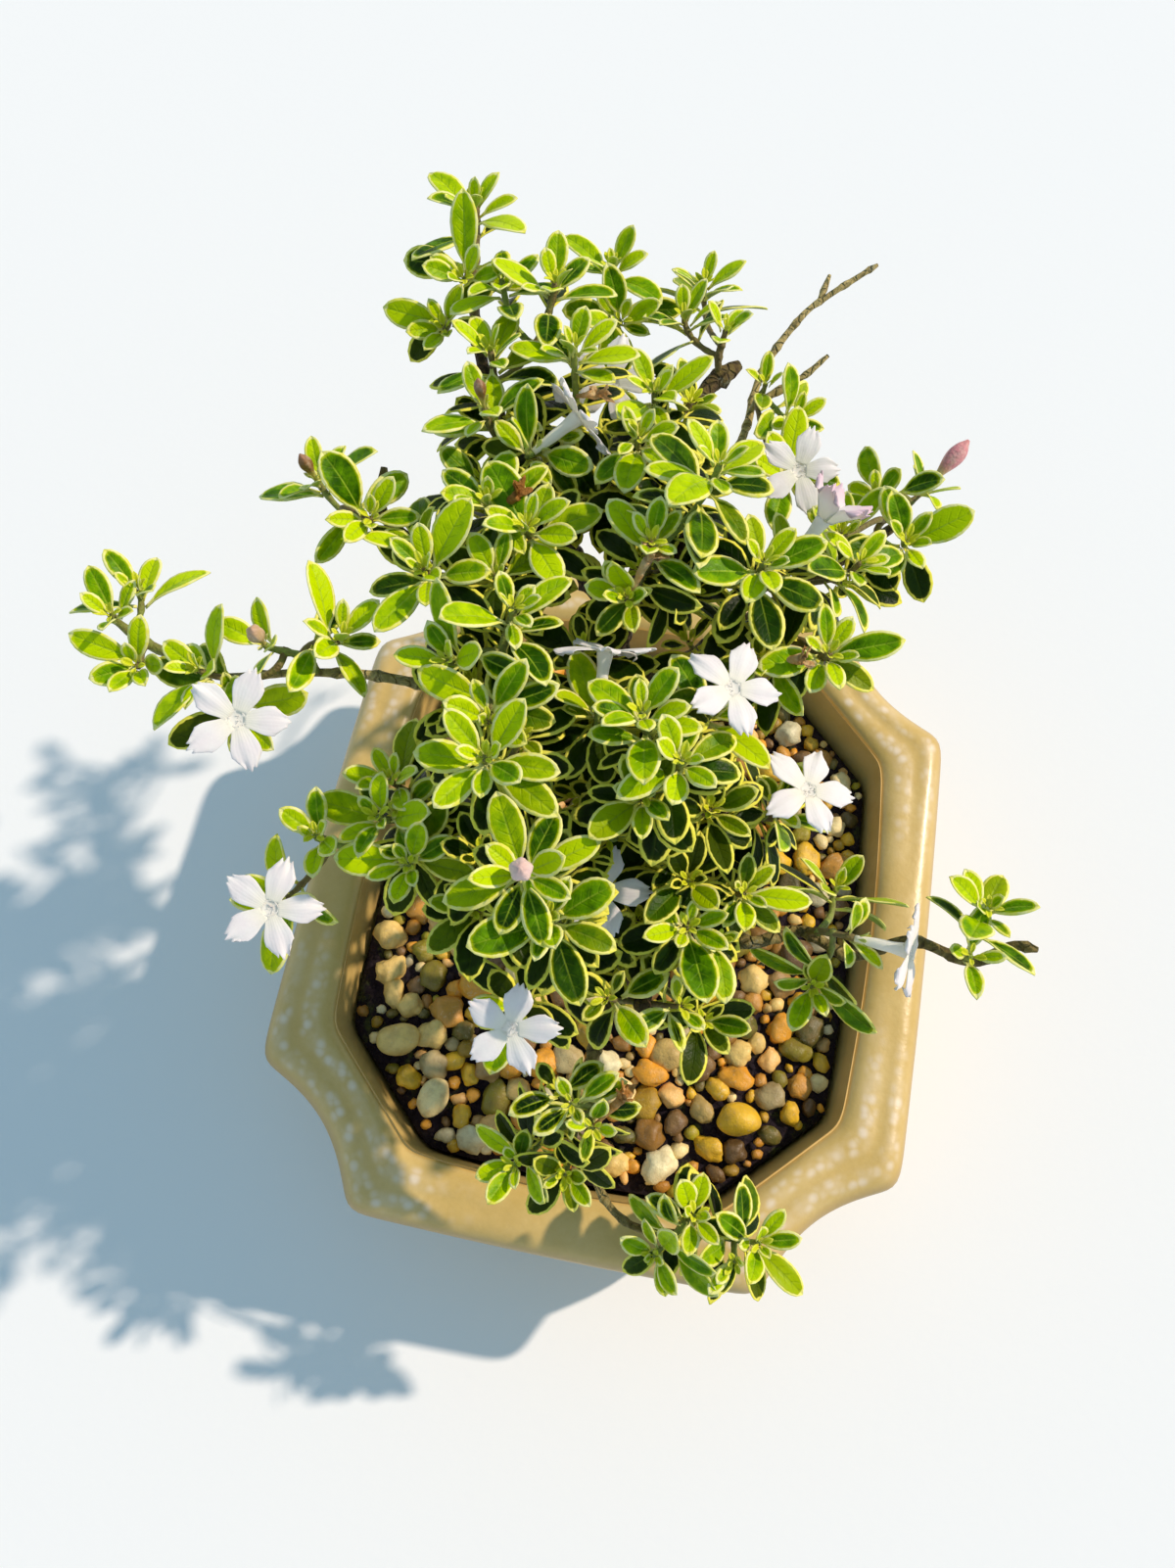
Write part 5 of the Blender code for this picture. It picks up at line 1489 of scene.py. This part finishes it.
def add_grain(piece, centre, size, draw, detail, roughness):
    """One rounded, slightly lumpy stone."""
    tone, shade = draw.random(), draw.random()
    bm = bmesh.new()
    bmesh.ops.create_icosphere(bm, subdivisions=detail, radius=0.5)
    across = [size * draw.uniform(*limits) for limits in ((0.9, 1.15), (0.72, 1.0), (0.55, 0.8))]
    tilt = Quaternion((draw.uniform(-1, 1), draw.uniform(-1, 1), 0.1), draw.uniform(0.0, 0.5)).to_matrix()
    turn = Matrix.Rotation(draw.uniform(0.0, TURN), 3, "Z")
    seed = Vector((draw.uniform(0, 90), draw.uniform(0, 90), draw.uniform(0, 90)))
    first = len(piece.points)
    for vert in bm.verts:
        coarse = noise.noise(vert.co * 2.6 + seed)
        fine = noise.noise(vert.co * 7.0 + seed)
        lump = 1.0 + roughness * coarse + 0.4 * roughness * fine
        place = centre + tilt @ turn @ Matrix.Diagonal(across) @ (vert.co * lump)
        piece.add(place, tone=tone, shade=shade)
    for face in bm.faces:
        piece.face(tuple(first + vert.index for vert in face.verts))
    bm.free()


def scatter(draw, wanted, sizes, crowding, taken):
    """Places for grains, largest first, none closer to another than crowding lets it."""
    half_width = POT_WIDTH / 2 - RIM_WIDTH
    half_depth = POT_DEPTH / 2 - RIM_WIDTH
    found = []
    for size in sorted((draw.uniform(*sizes) for _ in range(wanted)), reverse=True):
        for _ in range(GRAIN_TRIES):
            x = draw.uniform(-half_width, half_width)
            y = draw.uniform(-half_depth, half_depth)
            clear = all(
                (x - a) ** 2 + (y - b) ** 2 > (crowding * (size + other) / 2) ** 2
                for a, b, other in taken
            )
            if clear and inside_bed(x, y, size * 0.5):
                taken.append((x, y, size))
                found.append((x, y, size))
                break
    return found


def build_gravel(stone, soil):
    """Rounded pebbles all over the soil, thinner along the left wall, and dark crumbs between them."""
    draw = random.Random("gravel")
    taken = [TRUNK_FOOT]
    taken += [(x, y, size * 1.05) for (x, y), size, _ in STONES.values()]
    for name in LIMBS:
        if name.startswith("root"):
            taken += [(x, y, ROOT_BEND) for x, y, _ in LIMBS[name][0]]
    found = []
    for wanted, sizes in PEBBLES:
        found += scatter(draw, wanted, sizes, PEBBLE_CROWDING, taken)
    piece = Piece()
    for x, y, size in found:
        if x < BARE_STRIP and draw.random() < BARE_SHARE:
            continue
        centre = Vector((x, y, soil_height(x, y) + size * draw.uniform(0.12, 0.26)))
        add_grain(piece, centre, size, draw, 3 if size > LARGE_GRAIN else 2, PEBBLE_ROUGHNESS)
    piece.make("gravel", [stone], "stone")
    piece = Piece()
    for x, y, size in scatter(draw, *CRUMBS, CRUMB_CROWDING, []):
        add_grain(piece, Vector((x, y, soil_height(x, y) + size * 0.15)), size, draw, 1, CRUMB_ROUGHNESS)
    piece.make("soil_crumbs", [soil], "soil")


def smoothed_copy(name):
    """A copy of a CAD node's solid with a finer, rounded mesh."""
    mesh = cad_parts[name].data.copy()
    mesh.materials.clear()
    made = new_object(f"{name}_surface", mesh)
    bm = bmesh.new()
    bm.from_mesh(mesh)
    bmesh.ops.remove_doubles(bm, verts=bm.verts, dist=0.001 * MM)
    for attribute in list(mesh.attributes):
        if attribute.name in ("custom_normal", "sharp_face", "sharp_edge"):
            mesh.attributes.remove(attribute)
    bm.to_mesh(mesh)
    bm.free()
    made.modifiers.new("finer", "SUBSURF").levels = 2
    fine = applied(made)
    made.modifiers.clear()
    made.data = fine
    return made


def build_large_stone(name, stone):
    """The CAD stone with a finer, slightly pitted surface."""
    low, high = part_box(name)
    centre = (low + high) / 2
    made = smoothed_copy(name)
    fine = made.data
    seed = Vector((len(name) * 3.7, float(name[-1]) * 5.1, 0.0))
    for vert in fine.vertices:
        away = (vert.co - centre) / MM
        push = 1.03 + 0.05 * noise.noise(away * 0.35 + seed) + 0.012 * noise.noise(away * 1.6 + seed)
        vert.co = centre + away * push * MM
    fine.materials.append(stone)
    for attribute, value in (("tone", STONES[name][-1]), ("shade", 0.5)):
        column = fine.attributes.new(attribute, "FLOAT", "POINT")
        column.data.foreach_set("value", [value] * len(fine.vertices))
    fine.polygons.foreach_set("use_smooth", [True] * len(fine.polygons))
    fine.update()
    hand_over(made, "stone", name)


# ---------------------------------------------------------------- materials


class Nodes:
    """The node tree of a material or world, with short ways to add to it."""

    def __init__(self, owner):
        owner.use_nodes = True
        self.tree = owner.node_tree

    def put(self, socket, value):
        """Links a socket to another one or gives it a plain value, a colour as three numbers."""
        if isinstance(value, bpy.types.NodeSocket):
            self.tree.links.new(value, socket)
        elif isinstance(value, tuple) and len(value) == 3 and len(socket.default_value) == 4:
            socket.default_value = (*value, 1.0)
        else:
            socket.default_value = value

    def node(self, kind, given, **settings):
        """The outputs of a new node, whose inputs are given by name or number."""
        made = self.tree.nodes.new(f"ShaderNode{kind}")
        for name, value in settings.items():
            setattr(made, name, value)
        for key, value in given.items():
            self.put(made.inputs[key], value)
        return made.outputs

    def maths(self, operation, a, b=0.0):
        return self.node("Math", {0: a, 1: b}, operation=operation)[0]

    def mix(self, share, a, b):
        return self.node("Mix", {"Factor": share, 6: a, 7: b}, data_type="RGBA")[2]


class Material(Nodes):
    """A material whose textures are laid out in millimetres."""

    def __init__(self, name):
        self.material = bpy.data.materials.new(name)
        super().__init__(self.material)
        self.shader = self.tree.nodes["Principled BSDF"]
        place = self.node("TexCoord", {})["Object"]
        self.place = self.node("VectorMath", {0: place, "Scale": 1.0 / MM}, operation="SCALE")[0]

    def stretched(self, factors):
        return self.node("VectorMath", {0: self.place, 1: factors}, operation="MULTIPLY")[0]

    def fact(self, name):
        return self.node("Attribute", {}, attribute_name=name)["Fac"]

    def times(self, a, b):
        return self.maths("MULTIPLY", a, b)

    def sum(self, *parts):
        """Adds values, each given plain or as (value, weight)."""
        total = None
        for part in parts:
            value = self.times(*part) if isinstance(part, tuple) else part
            total = value if total is None else self.maths("ADD", total, value)
        return total

    def band(self, value, low, high, to_low=0.0, to_high=1.0):
        """A smooth step of a value between two limits."""
        given = dict(enumerate((value, low, high, to_low, to_high)))
        return self.node("MapRange", given, interpolation_type="SMOOTHSTEP")[0]

    def fall(self, value, low, high):
        """A smooth step down from 1 to 0 between two limits."""
        return self.band(value, low, high, 1.0, 0.0)

    def noise(self, scale, detail=3.0, roughness=0.5, vector=None, distortion=0.0):
        given = {"Vector": vector or self.place, "Scale": scale, "Detail": detail,
                 "Roughness": roughness, "Distortion": distortion}
        return self.node("TexNoise", given)["Fac"]

    def cells(self, scale, vector=None, feature="F1"):
        given = {"Vector": vector or self.place, "Scale": scale}
        return self.node("TexVoronoi", given, feature=feature)["Distance"]

    def ramp(self, value, stops, interpolation="LINEAR"):
        node = self.tree.nodes.new("ShaderNodeValToRGB")
        node.color_ramp.interpolation = interpolation
        elements = node.color_ramp.elements
        while len(elements) < len(stops):
            elements.new(0.5)
        for element, (position, colour) in zip(elements, stops):
            element.position = position
            element.color = (*colour, 1.0)
        self.put(node.inputs["Fac"], value)
        return node.outputs["Color"]

    def bump(self, height, distance, strength=1.0):
        given = {"Strength": strength, "Distance": distance * MM, "Height": height}
        return self.node("Bump", given)["Normal"]

    def finish(self, colour, roughness, normal, translucent=None, **sockets):
        """Feeds the Principled shader, and mixes in light that comes through from behind if asked."""
        given = {"Base Color": colour, "Roughness": roughness, "Normal": normal}
        given.update((name.replace("_", " "), value) for name, value in sockets.items())
        for name, value in given.items():
            self.put(self.shader.inputs[name], value)
        if translucent:
            share, tint = translucent
            through_light = self.node("BsdfTranslucent", {"Color": tint})[0]
            mixed = self.node("MixShader", {"Fac": share, 1: self.shader.outputs[0], 2: through_light})[0]
            self.put(self.tree.nodes["Material Output"].inputs["Surface"], mixed)
        return self.material


def leaf_material():
    """Green blade with a cream margin, pale midrib, faint side veins and a paler back, and painted shade on
    leaves inside the crown.
    """
    m = Material("variegated_leaf")
    tone, youth, under = m.fact("tone"), m.fact("youth"), m.fact("under")
    rim, along = m.fact("rim"), m.fact("along")
    mid, deep = m.fact("mid"), m.fact("deep")
    aside = m.maths("ABSOLUTE", m.fact("across"))
    patches = m.noise(0.45, 3.0, 0.6)
    wobble = m.noise(1.1, 2.0)
    edge = m.sum(rim, (wobble, 0.40), -0.20)
    cream = m.fall(edge, 0.42, 0.58)
    fringe = m.fall(edge, 0.56, 0.95)
    depth = m.sum((tone, 0.56), (patches, 0.60), (youth, 0.42), -0.08)
    blade = m.ramp(depth, ((0.14, (0.003, 0.020, 0.001)), (0.35, (0.028, 0.100, 0.0)),
                           (0.54, (0.16, 0.36, 0.0)), (0.80, (0.60, 0.78, 0.0))))
    blade = m.mix(m.times(fringe, 0.66), blade, (0.62, 0.70, 0.0))
    rib = m.times(m.fall(mid, 0.04, 0.17), m.band(along, 0.45, 1.0, 0.75, 0.1))
    blade = m.mix(rib, blade, (0.44, 0.60, 0.04))
    wave = m.maths("SINE", m.sum((along, 44.0), (aside, -9.0)))
    vein = m.times(m.band(wave, 0.72, 1.0), m.fall(aside, 0.1, 0.75))
    blade = m.mix(m.times(vein, 0.16), blade, (0.30, 0.46, 0.02))
    margin = m.mix(m.band(m.noise(0.7, 2.0), 0.3, 0.6), (0.93, 0.88, 0.12), (1.0, 0.96, 0.42))
    # Painted shade: leaves inside the crown get a near-black blade, and their margins a more saturated yellow
    # against the blue light of the shade.
    blade = m.mix(m.band(deep, 0.05, 0.75, 0.0, 0.95), blade, (0.004, 0.016, 0.001))
    margin = m.mix(m.band(deep, 0.0, 0.8, 0.0, 0.85), margin, (1.0, 0.90, 0.08))
    colour = m.mix(cream, blade, margin)
    colour = m.mix(m.band(youth, 1.0, 1.5, 0.0, 0.85), colour, (0.80, 0.82, 0.02))
    colour = m.mix(m.times(under, 0.5), colour, (0.42, 0.55, 0.14))
    height = m.sum((vein, -0.5), (m.fall(mid, 0.0, 0.3), -0.6), (m.noise(3.2, 3.0), 0.55))
    normal = m.bump(height, 0.14, 0.8)
    roughness = m.sum((m.noise(2.0, 2.0), 0.16), (under, 0.25), 0.22)
    tint = m.mix(0.40, colour, (0.45, 0.70, 0.005))
    return m.finish(colour, roughness, normal, (0.20, tint), Specular_IOR_Level=0.07)


def stem_material():
    """Young twig, from fresh green to olive brown."""
    m = Material("young_stem")
    streaks = m.noise(0.7, 4.0, 0.6, m.stretched((2.0, 2.0, 0.7)))
    share = m.sum((m.fact("youth"), 0.55), (streaks, 0.6), -0.1)
    colour = m.ramp(share, (
        (0.1, (0.085, 0.05, 0.02)), (0.45, (0.17, 0.13, 0.04)), (0.8, (0.25, 0.34, 0.05)),
    ))
    normal = m.bump(m.noise(2.4, 4.0), 0.25)
    return m.finish(colour, 0.6, normal, Specular_IOR_Level=0.4)


def bark_material():
    """Dark cracked bark with paler worn ridges and a few grey lichen flecks."""
    m = Material("bark")
    coarse = m.noise(0.45, 5.0, 0.65, m.stretched((1.0, 1.0, 0.55)), 0.6)
    fine = m.noise(2.6, 5.0, 0.7)
    cracks = m.cells(0.55, m.stretched((1.0, 1.0, 0.45)), "DISTANCE_TO_EDGE")
    groove = m.fall(cracks, 0.0, 0.16)
    youth = m.fact("youth")
    base = m.ramp(m.sum((coarse, 0.6), (youth, 0.42), 0.05),
                  ((0.25, (0.028, 0.016, 0.007)), (0.44, (0.085, 0.052, 0.018)), (0.64, (0.20, 0.15, 0.04)),
                   (0.86, (0.60, 0.47, 0.19))))
    colour = m.mix(m.times(groove, m.band(youth, 0.0, 1.0, 0.8, 0.12)), base, (0.012, 0.008, 0.006))
    lichen = m.times(m.band(m.noise(0.32, 3.0), 0.60, 0.68), m.band(fine, 0.42, 0.6))
    colour = m.mix(m.times(lichen, 0.6), colour, (0.30, 0.32, 0.24))
    normal = m.bump(m.sum((coarse, 1.0), (fine, 0.35), (groove, -0.7)), 0.8)
    return m.finish(colour, 0.82, normal, Specular_IOR_Level=0.3)


def petal_material():
    """White petal with a breath of lilac, fine veins along it and a soft nap."""
    m = Material("petal")
    aside = m.maths("ABSOLUTE", m.fact("across"))
    along = m.fact("along")
    veins = m.maths("SINE", m.sum((aside, 26.0), (m.noise(0.8), 3.0)))
    colour = m.mix(m.band(m.noise(0.4, 2.0), 0.35, 0.7), (0.93, 0.88, 0.89), (0.95, 0.93, 0.92))
    line = m.times(m.band(veins, 0.6, 1.0), 0.03)
    colour = m.mix(line, colour, (0.84, 0.74, 0.80))
    colour = m.mix(m.band(along, 0.0, 0.5, 0.8, 0.0), colour, (1.0, 0.97, 0.80))
    colour = m.mix(m.times(m.fact("pink"), m.band(along, 0.3, 1.0)), colour, (0.84, 0.62, 0.71))
    normal = m.bump(m.sum((veins, 0.1), (m.noise(1.6, 4.0), 0.8)), 0.05)
    through_light = (0.28, (0.98, 0.96, 0.97))
    return m.finish(colour, 0.62, normal, through_light, Specular_IOR_Level=0.3, Sheen_Weight=0.15)


def bud_material():
    """Rolled petals of a closed bud, pale pink with browner tips."""
    m = Material("bud_skin")
    tone = m.fact("tone")
    up = m.fact("length_share")
    skin = m.ramp(tone, ((0.0, (0.66, 0.24, 0.26)), (0.33, (0.80, 0.56, 0.52)), (0.66, (0.56, 0.36, 0.20)),
                         (1.0, (0.24, 0.11, 0.03))))
    streaks = m.noise(1.1, 3.0)
    colour = m.mix(m.band(streaks, 0.4, 0.7, 0.0, 0.35), skin, (0.80, 0.64, 0.50))
    colour = m.mix(m.band(up, 0.25, 0.5, 0.75, 0.0), colour, (0.42, 0.42, 0.10))
    colour = m.mix(m.band(up, 0.8, 1.0, 0.0, 0.35), colour, (0.46, 0.22, 0.16))
    normal = m.bump(m.noise(1.8, 4.0), 0.2)
    return m.finish(colour, 0.5, normal, Specular_IOR_Level=0.4)


def withered_material():
    """Dried petals, from pale straw to rusty brown."""
    m = Material("withered")
    share = m.sum((m.fact("tone"), 0.5), (m.noise(0.8, 4.0), 0.7), -0.1)
    colour = m.ramp(share, ((0.2, (0.30, 0.12, 0.02)), (0.5, (0.55, 0.27, 0.07)), (0.8, (0.78, 0.60, 0.32))))
    normal = m.bump(m.noise(2.0, 4.0), 0.4)
    return m.finish(colour, 0.8, normal, (0.2, (0.7, 0.4, 0.1)), Specular_IOR_Level=0.2)


def glaze_material():
    """Honey-coloured glaze, darker brown along the lip's outermost edge, with paler cream dabs on the rim's
    ridges near the corners: partly glaze that breaks paler where it thins, partly painted highlights.
    """
    m = Material("honey_glaze")
    corner, inset = m.fact("corner"), m.fact("inset")
    flow = m.noise(0.06, 4.0, 0.6)
    fleck = m.noise(0.9, 4.0, 0.65)
    base = m.ramp(m.sum((flow, 0.8), (fleck, 0.25)),
                  ((0.30, (0.55, 0.37, 0.10)), (0.5, (0.61, 0.42, 0.135)), (0.72, (0.67, 0.485, 0.19))))
    blobs = m.noise(0.30, 2.0, 0.5)
    ridge_a = m.fall(m.maths("ABSOLUTE", m.sum(inset, -3.0)), 0.4, 2.2)
    ridge_b = m.fall(m.maths("ABSOLUTE", m.sum(inset, -8.0)), 0.5, 2.4)
    ridges = m.maths("MAXIMUM", ridge_a, ridge_b)
    # Paler cream dabs on the rim's two ridges near the corners: partly glaze thinning there, partly painted
    # highlights.
    dabs = m.sum((m.fall(m.cells(0.42), 0.1, 0.6), 0.8), (m.band(blobs, 0.30, 0.75), 0.35))
    glaze_break_and_highlight = m.times(m.times(ridges, dabs), m.band(corner, 0.2, 0.9))
    colour = m.mix(m.times(glaze_break_and_highlight, 0.85), base, (0.83, 0.70, 0.55))
    # Darker brown along the lip's outermost edge.
    colour = m.mix(m.band(inset, 0.0, 1.4, 0.5, 0.0), colour, (0.34, 0.20, 0.07))
    normal = m.bump(m.sum((m.noise(0.4, 3.0), 0.5), (m.noise(2.2, 3.0), 0.06)), 0.22)
    roughness = m.sum((fleck, 0.16), 0.27)
    return m.finish(colour, roughness, normal, Specular_IOR_Level=0.4, Coat_Weight=0.06, Coat_Roughness=0.2)


def soil_material():
    """Damp dark soil with a faint purple cast and paler crumbs."""
    m = Material("damp_soil")
    grain = m.noise(0.9, 6.0, 0.7)
    patch = m.noise(0.12, 3.0)
    colour = m.ramp(m.sum((grain, 0.7), (patch, 0.3)), (
        (0.3, (0.005, 0.003, 0.008)), (0.52, (0.020, 0.012, 0.020)), (0.75, (0.075, 0.048, 0.040)),
    ))
    moss = m.times(m.band(m.noise(0.16, 3.0), 0.56, 0.66), m.band(grain, 0.4, 0.6))
    colour = m.mix(m.times(moss, 0.6), colour, (0.10, 0.13, 0.015))
    normal = m.bump(m.sum(grain, (m.cells(0.7), 0.6)), 1.2)
    return m.finish(colour, 0.9, normal, Specular_IOR_Level=0.25)


def stone_material():
    """Mixed river gravel: each grain has one colour of its own, mottled and slightly polished."""
    m = Material("gravel")
    kind = m.ramp(m.fact("tone"), (
        (0.0, (0.92, 0.64, 0.20)), (0.12, (1.0, 0.80, 0.38)), (0.22, (0.90, 0.40, 0.03)),
        (0.37, (0.84, 0.50, 0.02)), (0.50, (0.42, 0.36, 0.01)), (0.60, (0.62, 0.29, 0.04)),
        (0.70, (0.96, 0.56, 0.18)), (0.78, (0.17, 0.09, 0.03)), (0.86, (1.0, 0.90, 0.55)),
        (0.92, (0.10, 0.10, 0.015)),
    ), "CONSTANT")
    mottle = m.noise(0.45, 5.0, 0.65)
    veined = m.noise(0.9, 4.0, 0.6, None, 1.5)
    colour = m.mix(m.band(mottle, 0.35, 0.7, 0.0, 0.42), kind, (0.34, 0.20, 0.06))
    colour = m.mix(m.band(veined, 0.58, 0.72, 0.0, 0.35), colour, (0.86, 0.78, 0.58))
    colour = m.mix(m.band(m.fact("shade"), 0.4, 1.0, 0.0, 0.6), colour, (0.05, 0.03, 0.01))
    normal = m.bump(m.sum((mottle, 0.7), (m.noise(3.0, 3.0), 0.3)), 0.35)
    roughness = m.sum((mottle, 0.3), 0.3)
    return m.finish(colour, roughness, normal, Specular_IOR_Level=0.45)


def screen_material():
    """Matte green plastic mesh with a moulded grain."""
    m = Material("screen_plastic")
    colour = m.mix(m.noise(0.8, 4.0), (0.03, 0.06, 0.03), (0.07, 0.12, 0.06))
    return m.finish(colour, m.sum((m.noise(3.0), 0.2), 0.45), m.bump(m.noise(4.0, 3.0), 0.1))


# ---------------------------------------------------------------- stage


def floor_material():
    """White floor that keeps the shadow. Where light reaches it, it is as pale as the backdrop."""
    m = Material("white_floor")
    tint = m.mix(m.noise(0.004, 2.0), (FLOOR_COLOUR,) * 3, (FLOOR_COLOUR - 0.01,) * 3)
    return m.finish(tint, 0.85, m.bump(m.noise(0.5, 2.0), 0.02), Specular_IOR_Level=0.1)


def build_floor():
    """The white ground under the pot."""
    half = FLOOR_SIZE / 2
    mesh = bpy.data.meshes.new("floor")
    corners = [(-half, -half, 0), (half, -half, 0), (half, half, 0), (-half, half, 0)]
    mesh.from_pydata(corners, [], [(0, 1, 2, 3)])
    mesh.materials.append(floor_material())
    new_object("floor", mesh)


def build_surroundings():
    """Blue light from all round, and a white backdrop that only the camera and shiny things see."""
    world = bpy.data.worlds.new("studio")
    bpy.context.scene.world = world
    sky = Nodes(world)
    ray = sky.node("LightPath", {})
    seen = sky.maths("MAXIMUM", ray["Is Camera Ray"], ray["Is Glossy Ray"])
    shown = sky.maths("MAXIMUM", seen, ray["Is Transmission Ray"])
    sky.put(sky.tree.nodes["Background"].inputs["Color"], sky.mix(shown, SKY_COLOUR, (BACKDROP,) * 3))


def build_sun():
    """One warm sun from the upper right."""
    light = bpy.data.lights.new("key", "SUN")
    light.energy = SUN_STRENGTH
    light.color = SUN_COLOUR
    light.angle = math.radians(SUN_SOFTNESS)
    sun = new_object("key", light)
    sun.rotation_mode = "QUATERNION"
    sun.rotation_quaternion = SUN_WAY.to_track_quat("-Z", "Y")


def build_camera():
    """The photo's view from above."""
    lens = bpy.data.cameras.new("camera")
    lens.lens = CAMERA_LENS
    lens.clip_start = 0.01
    camera = new_object("camera", lens)
    camera.location = (CAMERA_PLACE + CENTRE) * MM
    camera.rotation_euler = (math.radians(CAMERA_PITCH), 0.0, math.radians(CAMERA_YAW))
    bpy.context.scene.camera = camera
    bpy.context.scene.view_settings.view_transform = "Standard"


# ---------------------------------------------------------------- whole bonsai


def build_bonsai():
    """Every piece of the tree and its pot."""
    shoots, limbs, crowd = plan_plant()
    leafy = [leaf_material(), stem_material()]
    petal = petal_material()
    bud = bud_material()
    stone = stone_material()
    soil = soil_material()
    plastic = screen_material()
    build_pot_piece([glaze_material()])
    build_soil_piece([soil])
    build_gravel(stone, soil)
    for name in STONES:
        build_large_stone(name, stone)
    for name in ("drainage_screen_front", "drainage_screen_back"):
        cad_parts[name].data.materials.clear()
        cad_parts[name].data.materials.append(plastic)
    build_wood_piece(limbs, [bark_material()])
    leafage = plan_leafage(shoots, crowd)
    spurs = plan_spurs(shoots, limbs, crowd)
    leaves = [leaf for found in (*leafage.values(), *(group for _, group in spurs)) for leaf in found]
    cover = Cover(leaves)
    for name, main in shoots.items():
        build_shoot_piece(name, main, leafage, cover, leafy)
    build_spur_pieces(spurs, cover, leafy)
    build_withered(shoots, [withered_material()])
    for name, entry in FLOWERS.items():
        build_flower_piece(name, *ornament_place(entry, shoots), [petal, *leafy])
    for name, entry in BUDS.items():
        build_bud_piece(name, *ornament_place(entry, shoots), [bud, *leafy])


build_bonsai()
build_floor()
build_surroundings()
build_sun()
build_camera()
